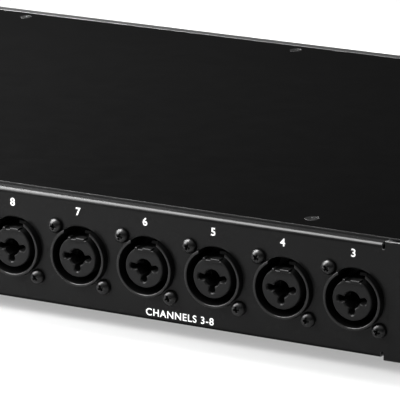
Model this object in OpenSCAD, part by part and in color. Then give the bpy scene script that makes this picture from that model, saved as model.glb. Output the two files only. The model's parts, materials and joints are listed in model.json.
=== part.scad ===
// Rack-mount audio interface, 1U high and 19 inches wide.
// +X is to the right seen from the front, +Y runs from the front panel to the rear panel, +Z is up.
// The origin is the centre of the four rack slots, in the plane where the ears meet the rack rails.

/* [Enclosure] */
// Width of the chassis over its side walls
body_w = 444; // [442:1:446]
// Depth of the chassis from the rack rails to the outside of the rear panel
body_d = 246; // [240:1:300]
// Height of the chassis over both covers
body_h = 44; // [43.8:0.1:44.2]
// Thickness of the folded steel sheet
sheet_t = 1.2; // [1:0.1:1.4]
// Thickness of the top and bottom covers
cover_t = 0.8; // [0.6:0.1:1]
// Outside radius of the folds
fold_r = 1.8; // [1.6:0.1:2]
// Height of the rubber feet
foot_h = 5; // [3:0.5:8]

/* [Front panel] */
// Width of the front panel over its rack ears
panel_w = 482.6; // [482:0.1:483]
// Thickness of the front panel
panel_t = 5; // [4:0.5:6]
// Horizontal distance between the rack slots
rack_hole_w = 465.1; // [464.8:0.1:465.4]
// Vertical distance between the rack slots
rack_hole_h = 31.75; // [31.5:0.05:32]
// Height of a rack slot
rack_slot_h = 6.8; // [6.4:0.1:7]
// Length of a rack slot from end to end
rack_slot_w = 10.4; // [9:0.1:11]

/* [Combo sockets] */
// Number of combo sockets on the rear panel
rear_combo_count = 6; // [2:1:6]
// Distance between neighbouring combo sockets
combo_pitch = 27.9; // [27:0.1:28]
// Distance from the side of the chassis to the first rear combo socket
combo_margin = 22; // [20:0.5:23]
// Outside diameter of the collar that stands out of the panel
collar_d = 22.4; // [22:0.1:22.6]
// Inside diameter of the collar
groove_d = 20.4; // [20:0.1:20.8]
// How far the collar stands out of the panel
collar_out = 2.5; // [2:0.1:3]
// Diameter of the insert in the middle of the socket
insert_d = 15.8; // [15:0.1:16]
// Diameter of the jack hole in the insert
jack_bore_d = 6.5; // [6.4:0.1:6.6]
// Radius of the circle that the three microphone contacts lie on
contact_ring_r = 4.6; // [4.6:0.1:4.8]

/* [Output jacks] */
// Number of line output jacks
line_jack_count = 8; // [4:1:8]
// Distance between neighbouring line output jacks
line_jack_pitch = 16.5; // [16:0.1:16.6]

/* [Controls] */
// Diameter of the main level knob
main_knob_d = 30; // [26:1:32]
// Diameter of the gain knob
gain_knob_d = 22; // [18:1:24]
// Diameter of the headphone level knobs
phones_knob_d = 14; // [12:1:14]
// Side of a square push button
button_side = 7; // [6:0.5:8]
// Travel of a push button
button_travel = 0.8; // [0.5:0.1:1]

/* [Hidden] */
$fn = 72;

// Clearances, and a wide and a narrow margin by which cuts run past a surface
gap = 0.1;
run_gap = 0.05;
over = 1;
skin = 0.01;

// Main planes of the enclosure
half_w = body_w / 2;
half_h = body_h / 2;
flange_z = half_h - cover_t;
front_y = -panel_t;
front_wall = panel_t + sheet_t;

// Relief notches that end the folds of the rear panel
notch_w = 0.9;
notch_h = 3.1;
notch_x = half_w - combo_margin + 11.2;

// Flanges that the covers are screwed to
flange_d = 22;
front_flange_d = 14;
front_lug_l = 12;
cover_inset = 4.8;
side_gap = 0.2;
side_tab_l = 26;
side_tab_w = 14;
side_tab_y = [90, 170];

// Feet
foot_r = 8;
foot_bore_r = 2.2;
foot_x = [-185, 185];
foot_y = [30, 214];

// Screws: radius of the shank, of its loose and close holes, and of the heads
screw_r = 1.45;
screw_hole_r = 1.6;
close_hole_r = screw_r + 0.1;
screw_head_r = 2.8;
screw_head_h = 2;
screw_head_dome = 3.2;
screw_slot_w = 0.6;
screw_slot_l = 3;
screw_slot_d = 1.2;
flat_head_r = 2.5;
flat_head_h = cover_t - 0.1;
flat_head_sink = 0.05;
flat_screw_l = 6;
rear_cover_screw_x = [-176.2, 0, 176.2];
rear_cover_screw_y = body_d - 13.8;
front_cover_screw_x = [-191.5, -58.6, 74.3, 207.2];
front_cover_screw_y = 7.2;

// Combo sockets: positions and the parts behind the panel
rear_combo_x = [for (i = [0 : rear_combo_count - 1]) -half_w + combo_margin + i * combo_pitch];
rear_combo_z = -0.8;
front_combo_x = [-196, -166];
combo_hole_r = collar_d / 2 + 0.3;
combo_body = 26.4;
combo_body_d = 25;
combo_groove_d = 14;
combo_screw = [10, 10.4];
combo_screw_l = 10;
insert_seat_r = insert_d / 2 + run_gap;
insert_ridge_z = [5.6, 6.5];
insert_ridge_w = 0.4;
key_slot_w = 10.6;
tooth_x = [-2.5, 2.3];
tooth_w = 3;
tooth_l = 2.5;
contact_hole_r = 1.3;
contact_r = 1.2;
contact_l = 18;
contact_wall = 0.3;
contact_sink = 3;
contact_slot_d = 1.5;
chamfer = 0.4;

// Quarter-inch jacks
jack_z = -3;
line_jack_x = [for (i = [0 : line_jack_count - 1]) -29.5 + i * line_jack_pitch];
phones_jack_x = [169, 199];
bushing_r = 4.5;
bushing_hole_r = 4.7;
bushing_out = 4.2;
jack_body = [14, 24, 14];
nut_r = 6.6;
nut_h = 2.2;

// Other rear connectors
bnc_x = 104;
bnc_z = [-10, 10];
rca_x = 121;
rca_z = [-9.5, 8.5];
optical_x = 137;
optical_z = [-10, 8];
usb_x = 153;
usb_size = [12, 11];
switch_x = 170;
switch_cut = [13, 19.4];
switch_flange = [15, 21.5];
inlet_x = 194;
inlet_cut = [27, 19.8];
inlet_flange = [30.6, 23];
door_size = 6;
door_t = 0.8;

// Mains switch rocker
rocker_r = 12;
rocker_w = 10.6;
rocker_h = 16;
rocker_axis_y = -4;
rocker_tilt = 8;
rocker_gap = 0.2;
switch_depth = 18;
switch_flange_t = 1.8;

// Front panel
panel_corner_r = 1.5;
panel_screw = [217, 17];
panel_screw_l = 9;

// Front controls
gain_x = -97;
main_x = 88;
phones_knob_x = [153, 184];
power_x = 213.5;
button_spots = [
    ["button_phantom", -138, 8], ["button_pad", -138, -8], ["button_polarity", -122, 8],
    ["button_mono", 117, 8], ["button_dim", 117, -8], ["button_mute", 132, 8]
];
window_x = [-74, 58];
window_h = 26;
window_t = 2.4;
window_rebate = 3;
window_sink = 0.3;
led_size = [5.6, 2];
led_columns = 10;
led_rows = 8;
led_pitch = [12, 2.7];
shaft_r = 3;
knob_gap = 0.6;
gain_knob_h = 15;
main_knob_h = 17;
phones_knob_h = 13;
control_hole_r = 3.8;
bushing_control_r = 3.6;
button_gap = 0.15;
button_out = 1.6;
plunger_r = 1.5;
plunger_hole_r = 1.6;
power_button_r = 4;
power_button_out = 3;
power_button_travel = 2;
power_switch_y = 6.5;

// Circuit boards
board_t = 1.6;
board_z = -15.6;
board_top = board_z + board_t;
board_front_y = 14;
standoff_r = 3;
front_board = [146, 18];
ribbon_x = 20;
ribbon_w = 24;
ribbon_t = 1;
ribbon_y = 51;
ribbon_z = -8;

// A box from its low corner to its high corner
module span(low, high) {
    translate(low) cube(high - low);
}

// A cylinder along Y
module rod_y(r, y0, y1) {
    translate([0, y1, 0]) rotate([90, 0, 0]) cylinder(r = r, h = y1 - y0);
}

// A six-sided prism along Y
module hex_y(r, y0, y1) {
    translate([0, y1, 0]) rotate([90, 0, 0]) cylinder(r = r, h = y1 - y0, $fn = 6);
}

// A cone along Y
module cone_y(r0, r1, y0, y1) {
    translate([0, y1, 0]) rotate([90, 0, 0]) cylinder(r1 = r1, r2 = r0, h = y1 - y0);
}

// A rectangle with true round corners, centred
module rounded_square(w, h, r) {
    square([w - 2 * r, h], center = true);
    square([w, h - 2 * r], center = true);
    for (x = [-1, 1], y = [-1, 1])
        translate([x * (w / 2 - r), y * (h / 2 - r)]) circle(r = r);
}

// Places for the parts: local +Y points out of the panel, and y = 0 is the panel's outer face
module at_rear(x, z) {
    translate([x, body_d, z]) children();
}

module at_front(x, z) {
    translate([x, front_y, z]) rotate([0, 0, 180]) children();
}

// A channel with folded edges, running along X, open towards low y; w is the height, d the depth
module channel(length, w, d, t, r) {
    translate([-length / 2, 0, 0])
        rotate([90, 0, 90])
            linear_extrude(height = length)
                difference() {
                    translate([-d, 0]) rounded_square(2 * d, w, r);
                    translate([-d, 0]) rounded_square(2 * (d - t), w - 2 * t, r - t);
                    translate([-2 * d - over, -w]) square([d + over, 2 * w]);
                }
}

// Outline of the rear wall and both side walls, folded from one strip, seen from above
module wrap_outline() {
    difference() {
        rounded_square(body_w, 2 * body_d, fold_r);
        rounded_square(body_w - 2 * sheet_t, 2 * (body_d - sheet_t), fold_r - sheet_t);
        translate([-body_w, -2 * body_d]) square([2 * body_w, 2 * body_d]);
    }
}

// ---- Enclosure ----

// A rectangular cut through the rear wall for a part of size w by h
module rear_cut(w, h) {
    span([-w / 2 - gap, -fold_r - over, -h / 2 - gap], [w / 2 + gap, over, h / 2 + gap]);
}

module rear_openings() {
    for (x = rear_combo_x)
        at_rear(x, rear_combo_z) {
            rod_y(combo_hole_r, -fold_r - over, over);
            for (s = [-1, 1])
                translate([s * combo_screw[0], 0, s * combo_screw[1]])
                    rod_y(screw_hole_r, -fold_r - over, over);
        }
    for (x = line_jack_x) at_rear(x, jack_z) rod_y(bushing_hole_r, -fold_r - over, over);
    for (z = bnc_z) at_rear(bnc_x, z) rod_y(bnc_hole_r, -fold_r - over, over);
    for (z = rca_z) at_rear(rca_x, z) rod_y(rca_flange_r + gap, -fold_r - over, over);
    for (z = optical_z) at_rear(optical_x, z) rear_cut(2 * optical_frame, 2 * optical_frame);
    at_rear(usb_x, jack_z) rear_cut(usb_size[0], usb_size[1]);
    at_rear(switch_x, 0) rear_cut(switch_cut[0], switch_cut[1]);
    at_rear(inlet_x, 0) rear_cut(inlet_cut[0], inlet_cut[1]);
}

vent_count = 12;
vent_pitch = 14;
vent_w = 3;
vent_l = 20;
vent_y = 40;

module side_vents() {
    for (s = [-1, 1], i = [0 : vent_count - 1])
        translate([s * half_w, vent_y + i * vent_pitch, 0]) rotate([0, 90, 0]) {
            translate([-(vent_l - vent_w) / 2, -vent_w / 2, -over - sheet_t])
                cube([vent_l - vent_w, vent_w, 2 * over + 2 * sheet_t]);
            for (e = [-1, 1])
                translate([e * (vent_l - vent_w) / 2, 0, -over - sheet_t])
                    cylinder(d = vent_w, h = 2 * over + 2 * sheet_t, $fn = 36);
        }
}

// Holes for the screws of both covers, at one edge, through the flanges
module cover_screw_holes(xs, y, r) {
    for (x = xs) translate([x, y, -half_h - over]) cylinder(r = r, h = body_h + 2 * over, $fn = 36);
}

module side_tab_holes(r) {
    for (s = [-1, 1], y = side_tab_y)
        translate([s * (half_w - sheet_t - side_tab_w / 2), y, -half_h - over])
            cylinder(r = r, h = body_h + 2 * over, $fn = 36);
}

// Rear panel and side walls with their fold-over flanges
module chassis_frame() {
    color([0.16, 0.16, 0.165])
    difference() {
        union() {
            difference() {
                translate([0, 0, -half_h]) linear_extrude(height = body_h) wrap_outline();
                for (s = [-1, 1])
                    translate([0, 0, s * (half_h - notch_h / 2 + over / 2)])
                        cube([2 * notch_x + notch_w, 4 * body_d, notch_h + over], center = true);
            }
            difference() {
                translate([0, 0, -half_h]) linear_extrude(height = body_h) wrap_outline();
                cube([2 * notch_x + notch_w, 4 * body_d, body_h + 2 * over], center = true);
            }
            translate([0, body_d, 0])
                channel(2 * notch_x - notch_w, 2 * flange_z, flange_d, sheet_t, fold_r);
            for (s = [-1, 1], y = side_tab_y, side = [-1, 1])
                translate([side * (half_w - sheet_t / 2 - side_tab_w / 2), y, s * (flange_z - sheet_t / 2)])
                    cube([side_tab_w + sheet_t, side_tab_l, sheet_t], center = true);
        }
        rear_openings();
        side_vents();
        cover_screw_holes(rear_cover_screw_x, rear_cover_screw_y, close_hole_r);
        side_tab_holes(close_hole_r);
    }
}

// A flat cover; it lies between the side walls, flush with their edges
module cover(side) {
    z0 = side > 0 ? flange_z : -half_h;
    difference() {
        span([-half_w + sheet_t + side_gap, gap, z0],
             [half_w - sheet_t - side_gap, body_d - cover_inset, z0 + cover_t]);
        for (x = front_cover_screw_x) cover_countersink(x, front_cover_screw_y, side);
        for (x = rear_cover_screw_x) cover_countersink(x, rear_cover_screw_y, side);
        for (s = [-1, 1], y = side_tab_y)
            cover_countersink(s * (half_w - sheet_t - side_tab_w / 2), y, side);
    }
}

// The countersunk hole of one cover screw
module cover_countersink(x, y, side) {
    translate([x, y, side * (half_h + skin)]) mirror([0, 0, side > 0 ? 1 : 0])
        cylinder(r1 = flat_head_r + gap, r2 = flat_head_r + gap - cover_t, h = cover_t + 2 * skin);
}

module top_cover() {
    color([0.07, 0.07, 0.072]) cover(1);
}

module bottom_cover() {
    color([0.07, 0.07, 0.072]) cover(-1);
}

// The folded steel panel behind the front panel
module front_subpanel() {
    color([0.16, 0.16, 0.165])
    difference() {
        union() {
            mirror([0, 1, 0])
                channel(body_w - 2 * (sheet_t + side_gap), 2 * flange_z, front_flange_d, sheet_t, fold_r);
            for (s = [-1, 1])
                translate([s * (half_w - 1.5 * sheet_t - 1.5 * side_gap), front_lug_l / 2, 0])
                    cube([sheet_t, front_lug_l, 2 * (flange_z - fold_r)], center = true);
        }
        front_openings();
        cover_screw_holes(front_cover_screw_x, front_cover_screw_y, close_hole_r);
    }
}

// Everything that is cut through the front panel and the panel behind it
module front_openings() {
    for (x = front_combo_x)
        at_front(x, rear_combo_z) {
            rod_y(combo_hole_r, -front_wall - over, over);
            for (s = [-1, 1])
                translate([s * combo_screw[0], 0, s * combo_screw[1]])
                    rod_y(screw_hole_r, -front_wall - over, over);
        }
    for (x = phones_jack_x) at_front(x, 0) rod_y(bushing_hole_r, -front_wall - over, over);
    for (x = [gain_x, main_x, phones_knob_x[0], phones_knob_x[1]])
        at_front(x, 0) rod_y(control_hole_r, -front_wall - over, over);
    for (b = button_spots)
        at_front(b[1], b[2])
            span([-button_side / 2 - button_gap, -front_wall - over, -button_side / 2 - button_gap],
                 [button_side / 2 + button_gap, over, button_side / 2 + button_gap]);
    at_front(power_x, 0) rod_y(power_button_r + button_gap, -front_wall - over, over);
    span([window_x[0] + window_rebate, front_y - over, -window_h / 2 + 2],
         [window_x[1] - window_rebate, sheet_t + over, window_h / 2 - 2]);
    for (s = [-1, 1], t = [-1, 1])
        translate([s * panel_screw[0], 0, t * panel_screw[1]])
            rod_y(screw_hole_r, -panel_t - over, sheet_t + over);
}

// The thick front panel with rack ears
module front_panel() {
    color([0.1, 0.1, 0.105])
    difference() {
        rotate([90, 0, 0])
            linear_extrude(height = panel_t) rounded_square(panel_w, body_h, panel_corner_r);
        front_openings();
        span([window_x[0], front_y - over, -window_h / 2], [window_x[1], front_y + window_t, window_h / 2]);
        for (s = [-1, 1], t = [-1, 1])
            translate([s * rack_hole_w / 2, front_y - over, t * rack_hole_h / 2]) rotate([-90, 0, 0])
                linear_extrude(height = panel_t + 2 * over) {
                    square([rack_slot_w - rack_slot_h, rack_slot_h], center = true);
                    for (e = [-1, 1])
                        translate([e * (rack_slot_w - rack_slot_h) / 2, 0]) circle(d = rack_slot_h);
                }
    }
}

// ---- Fasteners and feet ----

// A round-headed screw with a cross recess; its head rests on y = 0
module pan_screw(length) {
    difference() {
        union() {
            intersection() {
                rod_y(screw_head_r, 0, screw_head_h);
                translate([0, screw_head_h - screw_head_dome, 0]) sphere(r = screw_head_dome);
            }
            rod_y(screw_r, -length, 0.2);
        }
        for (a = [0, 90])
            rotate([0, a, 0])
                span([-screw_slot_l / 2, screw_head_h - screw_slot_d, -screw_slot_w / 2],
                     [screw_slot_l / 2, screw_head_h + over, screw_slot_w / 2]);
    }
}

// A flat-headed screw pointing down, with its head's top at z = 0
module flat_screw(length) {
    difference() {
        union() {
            translate([0, 0, -flat_head_h - flat_head_sink])
                cylinder(r1 = flat_head_r - flat_head_h, r2 = flat_head_r, h = flat_head_h);
            translate([0, 0, -length]) cylinder(r = screw_r, h = length - 2 * flat_head_sink);
        }
        for (a = [0, 90]) rotate([0, 0, a]) cube([2.4, screw_slot_w, 0.9], center = true);
    }
}

module cover_screws() {
    color([0.1, 0.1, 0.1])
    for (side = [0, 1]) mirror([0, 0, side]) {
        for (x = front_cover_screw_x)
            translate([x, front_cover_screw_y, half_h]) flat_screw(flat_screw_l);
        for (x = rear_cover_screw_x)
            translate([x, rear_cover_screw_y, half_h]) flat_screw(flat_screw_l);
        for (s = [-1, 1], y = side_tab_y)
            translate([s * (half_w - sheet_t - side_tab_w / 2), y, half_h]) flat_screw(flat_screw_l);
    }
}

module front_panel_screws() {
    color([0.12, 0.12, 0.12])
    for (s = [-1, 1], t = [-1, 1]) at_front(s * panel_screw[0], t * panel_screw[1]) pan_screw(panel_screw_l);
}

module rear_combo_screws() {
    color([0.1, 0.1, 0.1])
    for (x = rear_combo_x, s = [-1, 1])
        at_rear(x + s * combo_screw[0], rear_combo_z + s * combo_screw[1]) pan_screw(combo_screw_l);
}

module front_combo_screws() {
    color([0.1, 0.1, 0.1])
    for (x = front_combo_x, s = [-1, 1])
        at_front(x - s * combo_screw[0], rear_combo_z + s * combo_screw[1]) pan_screw(combo_screw_l + 4);
}

// Round rubber feet, dished underneath
module rubber_feet() {
    color([0.05, 0.05, 0.05])
    for (x = foot_x, y = foot_y)
        translate([x, y, -half_h - foot_h])
            difference() {
                cylinder(r1 = foot_r - 0.6, r2 = foot_r, h = foot_h);
                translate([0, 0, -over]) cylinder(r = foot_bore_r, h = over + foot_h / 2);
            }
}

// ---- Combo sockets ----

// Black moulded housing: a collar through the panel and a box behind it
module combo_housing(wall) {
    difference() {
        union() {
            rod_y(collar_d / 2, -wall - over, collar_out);
            span([-combo_body / 2, -wall - combo_body_d, -combo_body / 2],
                 [combo_body / 2, -wall, combo_body / 2]);
        }
        rod_y(groove_d / 2, -wall - combo_groove_d, collar_out + over);
        rod_y(insert_seat_r, -wall - combo_body_d - over, 0);
        span([-key_slot_w / 2, -wall - combo_groove_d, insert_d / 2],
             [key_slot_w / 2, collar_out + over, collar_d / 2 + 0.6]);
        for (s = [-1, 1])
            translate([s * combo_screw[0], 0, s * combo_screw[1]])
                rod_y(screw_r + run_gap, -wall - combo_groove_d, over - wall);
    }
}

// The insert that holds the jack hole and the three microphone contacts
module combo_insert(wall) {
    difference() {
        union() {
            rod_y(insert_d / 2, -wall - combo_body_d + 1, collar_out);
            for (x = tooth_x)
                span([x, collar_out - tooth_l, insert_d / 2 - 2.2],
                     [x + tooth_w, collar_out, insert_d / 2 + 0.3]);
        }
        rod_y(jack_bore_d / 2, -wall - combo_body_d + 4, collar_out + over);
        for (a = [0, 90, 180])
            rotate([0, a, 0]) {
                translate([contact_ring_r, 0, 0]) {
                    rod_y(contact_hole_r, -wall - combo_body_d, collar_out + over);
                    cone_y(contact_hole_r, contact_hole_r + chamfer,
                           collar_out - chamfer, collar_out + skin);
                }
                span([1, collar_out - contact_slot_d, -1], [contact_ring_r, collar_out + over, 1]);
            }
        for (z = insert_ridge_z)
            span([-3.6, collar_out - 0.3, z], [3.6, collar_out + over, z + insert_ridge_w]);
    }
}

// Three tubular contacts
module combo_contacts(wall) {
    for (a = [0, 90, 180])
        rotate([0, a, 0]) translate([contact_ring_r, 0, 0])
            difference() {
                rod_y(contact_r, collar_out - contact_sink - contact_l, collar_out - contact_sink);
                rod_y(contact_r - contact_wall, collar_out - contact_l, collar_out);
            }
}

module rear_combo_housings() {
    color([0.09, 0.09, 0.09]) for (x = rear_combo_x) at_rear(x, rear_combo_z) combo_housing(sheet_t);
}

module rear_combo_inserts() {
    color([0.13, 0.13, 0.13]) for (x = rear_combo_x) at_rear(x, rear_combo_z) combo_insert(sheet_t);
}

module rear_combo_contacts() {
    color([0.75, 0.62, 0.3]) for (x = rear_combo_x) at_rear(x, rear_combo_z) combo_contacts(sheet_t);
}

module front_combo_housings() {
    color([0.09, 0.09, 0.09]) for (x = front_combo_x) at_front(x, rear_combo_z) combo_housing(front_wall);
}

module front_combo_inserts() {
    color([0.13, 0.13, 0.13]) for (x = front_combo_x) at_front(x, rear_combo_z) combo_insert(front_wall);
}

module front_combo_contacts() {
    color([0.75, 0.62, 0.3]) for (x = front_combo_x) at_front(x, rear_combo_z) combo_contacts(front_wall);
}

// ---- Jacks ----

// A quarter-inch jack: a box behind the panel and a threaded bushing through it; drop is the
// distance from the jack's axis down to the underside of the box
module jack(wall, drop) {
    difference() {
        union() {
            rod_y(bushing_r, -wall - over, bushing_out);
            span([-jack_body[0] / 2, -wall - jack_body[1], -drop],
                 [jack_body[0] / 2, -wall, jack_body[2] / 2]);
        }
        rod_y(jack_bore_d / 2, -wall - jack_body[1] + 1.5, bushing_out + over);
        cone_y(jack_bore_d / 2, jack_bore_d / 2 + 0.6, bushing_out - 0.6, bushing_out + skin);
    }
}

module jack_nut() {
    difference() {
        hex_y(nut_r, 0, nut_h);
        rod_y(bushing_r + run_gap, -over, nut_h + over);
    }
}

module line_output_jacks() {
    color([0.1, 0.1, 0.1]) for (x = line_jack_x) at_rear(x, jack_z) jack(sheet_t, jack_z - board_top);
}

module line_output_nuts() {
    color([0.14, 0.14, 0.14]) for (x = line_jack_x) at_rear(x, jack_z) jack_nut();
}

module phones_jacks() {
    color([0.1, 0.1, 0.1]) for (x = phones_jack_x) at_front(x, 0) jack(front_wall, jack_body[2] / 2);
}

module phones_nuts() {
    color([0.14, 0.14, 0.14]) for (x = phones_jack_x) at_front(x, 0) jack_nut();
}

// ---- Digital connectors ----

bnc_shell_r = 4.8;
bnc_out = 11;
bnc_thread_r = 6;
bnc_hole_r = 6.4;
bnc_nut_r = 7.6;
bnc_nut_h = 2.2;
bnc_bore_r = 4.1;
bnc_body = [14, 14];
bnc_pin_r = 0.7;

module word_clock_shells() {
    color([0.75, 0.75, 0.76])
    for (z = bnc_z) at_rear(bnc_x, z)
        difference() {
            union() {
                rod_y(bnc_shell_r, 1, bnc_out);
                rod_y(bnc_thread_r, -sheet_t - over, 2);
                hex_y(bnc_nut_r, 0, bnc_nut_h);
                span([-bnc_body[0] / 2, -sheet_t - bnc_body[1], -bnc_body[0] / 2],
                     [bnc_body[0] / 2, -sheet_t, bnc_body[0] / 2]);
                for (s = [0, 180])
                    rotate([0, s, 0]) translate([bnc_shell_r - 0.4, bnc_out - 4, 0])
                        rotate([0, 90, 0]) cylinder(r = 1, h = 1.4, $fn = 36);
            }
            rod_y(bnc_bore_r, -sheet_t - 10, bnc_out + over);
        }
}

module word_clock_insulators() {
    color([0.9, 0.9, 0.88])
    for (z = bnc_z) at_rear(bnc_x, z)
        difference() {
            union() {
                rod_y(bnc_bore_r - run_gap, -sheet_t - 10, -sheet_t - 4);
                rod_y(2.1, -sheet_t - 5, bnc_out - 5);
            }
            rod_y(bnc_pin_r, -sheet_t - 4, bnc_out);
        }
}

rca_shell_r = 4.15;
rca_core_r = 3.25;
rca_flange_r = 5;
rca_flange_h = 1.6;
rca_bore_r = 1.7;
rca_out = 9;
rca_block_w = 13;
rca_block_d = 11;

// One moulded block that carries both coaxial sockets
module coaxial_housing() {
    color([0.12, 0.12, 0.12])
    difference() {
        union() {
            translate([rca_x, body_d, 0])
                span([-rca_block_w / 2, -sheet_t - rca_block_d, rca_z[0] - 6.5],
                     [rca_block_w / 2, -sheet_t - gap, rca_z[1] + 6.5]);
            for (z = rca_z) at_rear(rca_x, z) {
                rod_y(rca_flange_r, -sheet_t - over, rca_flange_h);
                rod_y(rca_core_r, 0, rca_out - 0.8);
            }
        }
        for (z = rca_z) at_rear(rca_x, z) {
            rod_y(rca_bore_r, -9, rca_out + over);
            difference() {
                rod_y(rca_shell_r + run_gap, -6, rca_out);
                rod_y(rca_core_r, -7, rca_out + over);
            }
        }
    }
}

module coaxial_shells() {
    color([0.8, 0.66, 0.35])
    for (z = rca_z) at_rear(rca_x, z)
        difference() {
            rod_y(rca_shell_r, -5.9, rca_out);
            rod_y(rca_core_r + run_gap, -7, rca_out + over);
        }
}

optical_out = 1.4;
optical_frame = 5;
optical_depth = 13;
optical_body = 14;
door_gap = 0.2;
door_sink = 0.4;

module optical_housings() {
    color([0.08, 0.08, 0.08])
    for (z = optical_z) at_rear(optical_x, z)
        difference() {
            union() {
                span([-optical_frame, -optical_depth, -optical_frame],
                     [optical_frame, optical_out, optical_frame]);
                span([-optical_body / 2, -optical_depth, -optical_body / 2],
                     [optical_body / 2, -sheet_t - gap, optical_body / 2]);
            }
            span([-door_size / 2 - door_gap, -optical_depth + 4, -door_size / 2 - door_gap],
                 [door_size / 2 + door_gap, optical_out + over, door_size / 2 + door_gap]);
        }
}

// The hinged shutter of an optical socket; its pivot runs along the top edge
module optical_door(z) {
    at_rear(optical_x, z) {
        span([-door_size / 2, -door_t - door_sink, -door_size / 2],
             [door_size / 2, -door_sink, door_size / 2 - door_t / 2]);
        translate([0, -door_sink - door_t / 2, door_size / 2 - door_t / 2])
            rotate([0, 90, 0]) cylinder(r = door_t / 2, h = door_size, center = true, $fn = 36);
    }
}

module optical_door_in() {
    color([0.2, 0.2, 0.2]) optical_door(optical_z[0]);
}

module optical_door_out() {
    color([0.2, 0.2, 0.2]) optical_door(optical_z[1]);
}

usb_out = 0.8;
usb_depth = 17;
usb_wall = 0.5;
usb_floor = 2;
usb_corner = 2.2;
usb_tongue_w = 5.6;

module usb_shell() {
    color([0.78, 0.78, 0.8])
    at_rear(usb_x, jack_z)
        difference() {
            span([-usb_size[0] / 2, -usb_depth, -usb_size[1] / 2],
                 [usb_size[0] / 2, usb_out, usb_size[1] / 2]);
            translate([0, -usb_depth + usb_floor, 0]) rotate([-90, 0, 0])
                linear_extrude(height = usb_depth) polygon(usb_opening());
        }
}

// A square opening whose upper corners are cut off; y runs downwards here
function usb_opening() =
    let (x = usb_size[0] / 2 - usb_wall, y = usb_size[1] / 2 - usb_wall, c = usb_corner)
    [[-x, y], [x, y], [x, -y + c], [x - c, -y], [-x + c, -y], [-x, -y + c]];

module usb_tongue() {
    color([0.1, 0.2, 0.6])
    at_rear(usb_x, jack_z)
        span([-usb_tongue_w / 2, -usb_depth + usb_floor, -1.8], [usb_tongue_w / 2, usb_out - 1.5, 1.4]);
}

// ---- Mains inlet and switch ----

inlet_depth = 20;
inlet_floor = 3.5;
inlet_flange_t = 2;
inlet_hole = [12, 8, 5];
pin_spots = [[-7, -1.5], [0, 2.5], [7, -1.5]];
pin_half = [1, 2];
pin_sink = 2;

// Outline of the inlet's opening, with two cut corners
function inlet_opening(w, h, c) =
    [[-w, h], [w, h], [w, -h + c], [w - c, -h], [-w + c, -h], [-w, -h + c]];

module mains_inlet_housing() {
    color([0.08, 0.08, 0.08])
    at_rear(inlet_x, 0)
        difference() {
            union() {
                span([-inlet_flange[0] / 2, 0, -inlet_flange[1] / 2],
                     [inlet_flange[0] / 2, inlet_flange_t, inlet_flange[1] / 2]);
                span([-inlet_cut[0] / 2, -inlet_depth, -inlet_cut[1] / 2],
                     [inlet_cut[0] / 2, 1, inlet_cut[1] / 2]);
            }
            translate([0, -inlet_depth + inlet_floor, 0]) rotate([-90, 0, 0])
                linear_extrude(height = inlet_depth)
                    polygon(inlet_opening(inlet_hole[0], inlet_hole[1], inlet_hole[2]));
        }
}

module mains_inlet_pins() {
    color([0.78, 0.78, 0.78])
    at_rear(inlet_x, 0)
        for (p = pin_spots)
            span([p[0] - pin_half[0], -inlet_depth + inlet_floor, p[1] - pin_half[1]],
                 [p[0] + pin_half[0], -pin_sink, p[1] + pin_half[1]]);
}

module mains_switch_frame() {
    color([0.08, 0.08, 0.08])
    at_rear(switch_x, 0)
        difference() {
            union() {
                span([-switch_flange[0] / 2, 0, -switch_flange[1] / 2],
                     [switch_flange[0] / 2, switch_flange_t, switch_flange[1] / 2]);
                span([-switch_cut[0] / 2, -switch_depth, -switch_cut[1] / 2],
                     [switch_cut[0] / 2, 1, switch_cut[1] / 2]);
            }
            span([-rocker_w / 2 - rocker_gap, -switch_depth + 2, -rocker_h / 2 - 0.6],
                 [rocker_w / 2 + rocker_gap, switch_flange_t + over, rocker_h / 2 + 0.6]);
        }
}

// The rocker, tipped to its "on" side; it turns about a pin along X
module mains_switch_rocker() {
    color([0.1, 0.1, 0.1])
    at_rear(switch_x, 0)
        translate([0, rocker_axis_y, 0]) rotate([rocker_tilt, 0, 0])
            difference() {
                intersection() {
                    rotate([0, 90, 0]) cylinder(r = rocker_h / 2 + rocker_gap, h = rocker_w, center = true);
                    span([-rocker_w, -3, -rocker_h], [rocker_w, rocker_r, rocker_h]);
                }
                translate([0, rocker_r + 4.6, 0]) rotate([0, 90, 0])
                    cylinder(r = rocker_r - 1, h = 2 * rocker_w, center = true);
            }
}

// ---- Circuit boards and what they carry ----

preamp_span = [[-217, 100], [-44, 243]];
main_span = [[-41, 40], [128, 218]];
main_tongue = [[-41, 210], [95, 243]];
supply_span = [[146, 60], [216, 216]];
board_screw_inset = 6;
board_screw_l = 4;
board_screw_rear_y = 214;

// Screw positions near the corners of a board, clear of the flange at its rear edge
function corners(s) = [for (x = [s[0][0] + board_screw_inset, s[1][0] - board_screw_inset],
    y = [s[0][1] + board_screw_inset, min(s[1][1] - board_screw_inset, board_screw_rear_y)]) [x, y]];

all_corners = concat(corners(preamp_span), corners(main_span), corners(supply_span));

module board_plate(s) {
    span([s[0][0], s[0][1], board_z], [s[1][0], s[1][1], board_top]);
}

module board_holes(s) {
    for (p = corners(s))
        translate([p[0], p[1], board_z - over]) cylinder(r = screw_hole_r, h = board_t + 2 * over);
}

module board(s) {
    difference() {
        board_plate(s);
        board_holes(s);
    }
}

module preamp_board() {
    color([0.05, 0.25, 0.12]) board(preamp_span);
}

// Its tongue reaches under the line output jacks
module main_board() {
    color([0.05, 0.25, 0.12])
    difference() {
        union() {
            board_plate(main_span);
            board_plate(main_tongue);
        }
        board_holes(main_span);
    }
}

module power_supply_board() {
    color([0.45, 0.33, 0.15]) board(supply_span);
}

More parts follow.
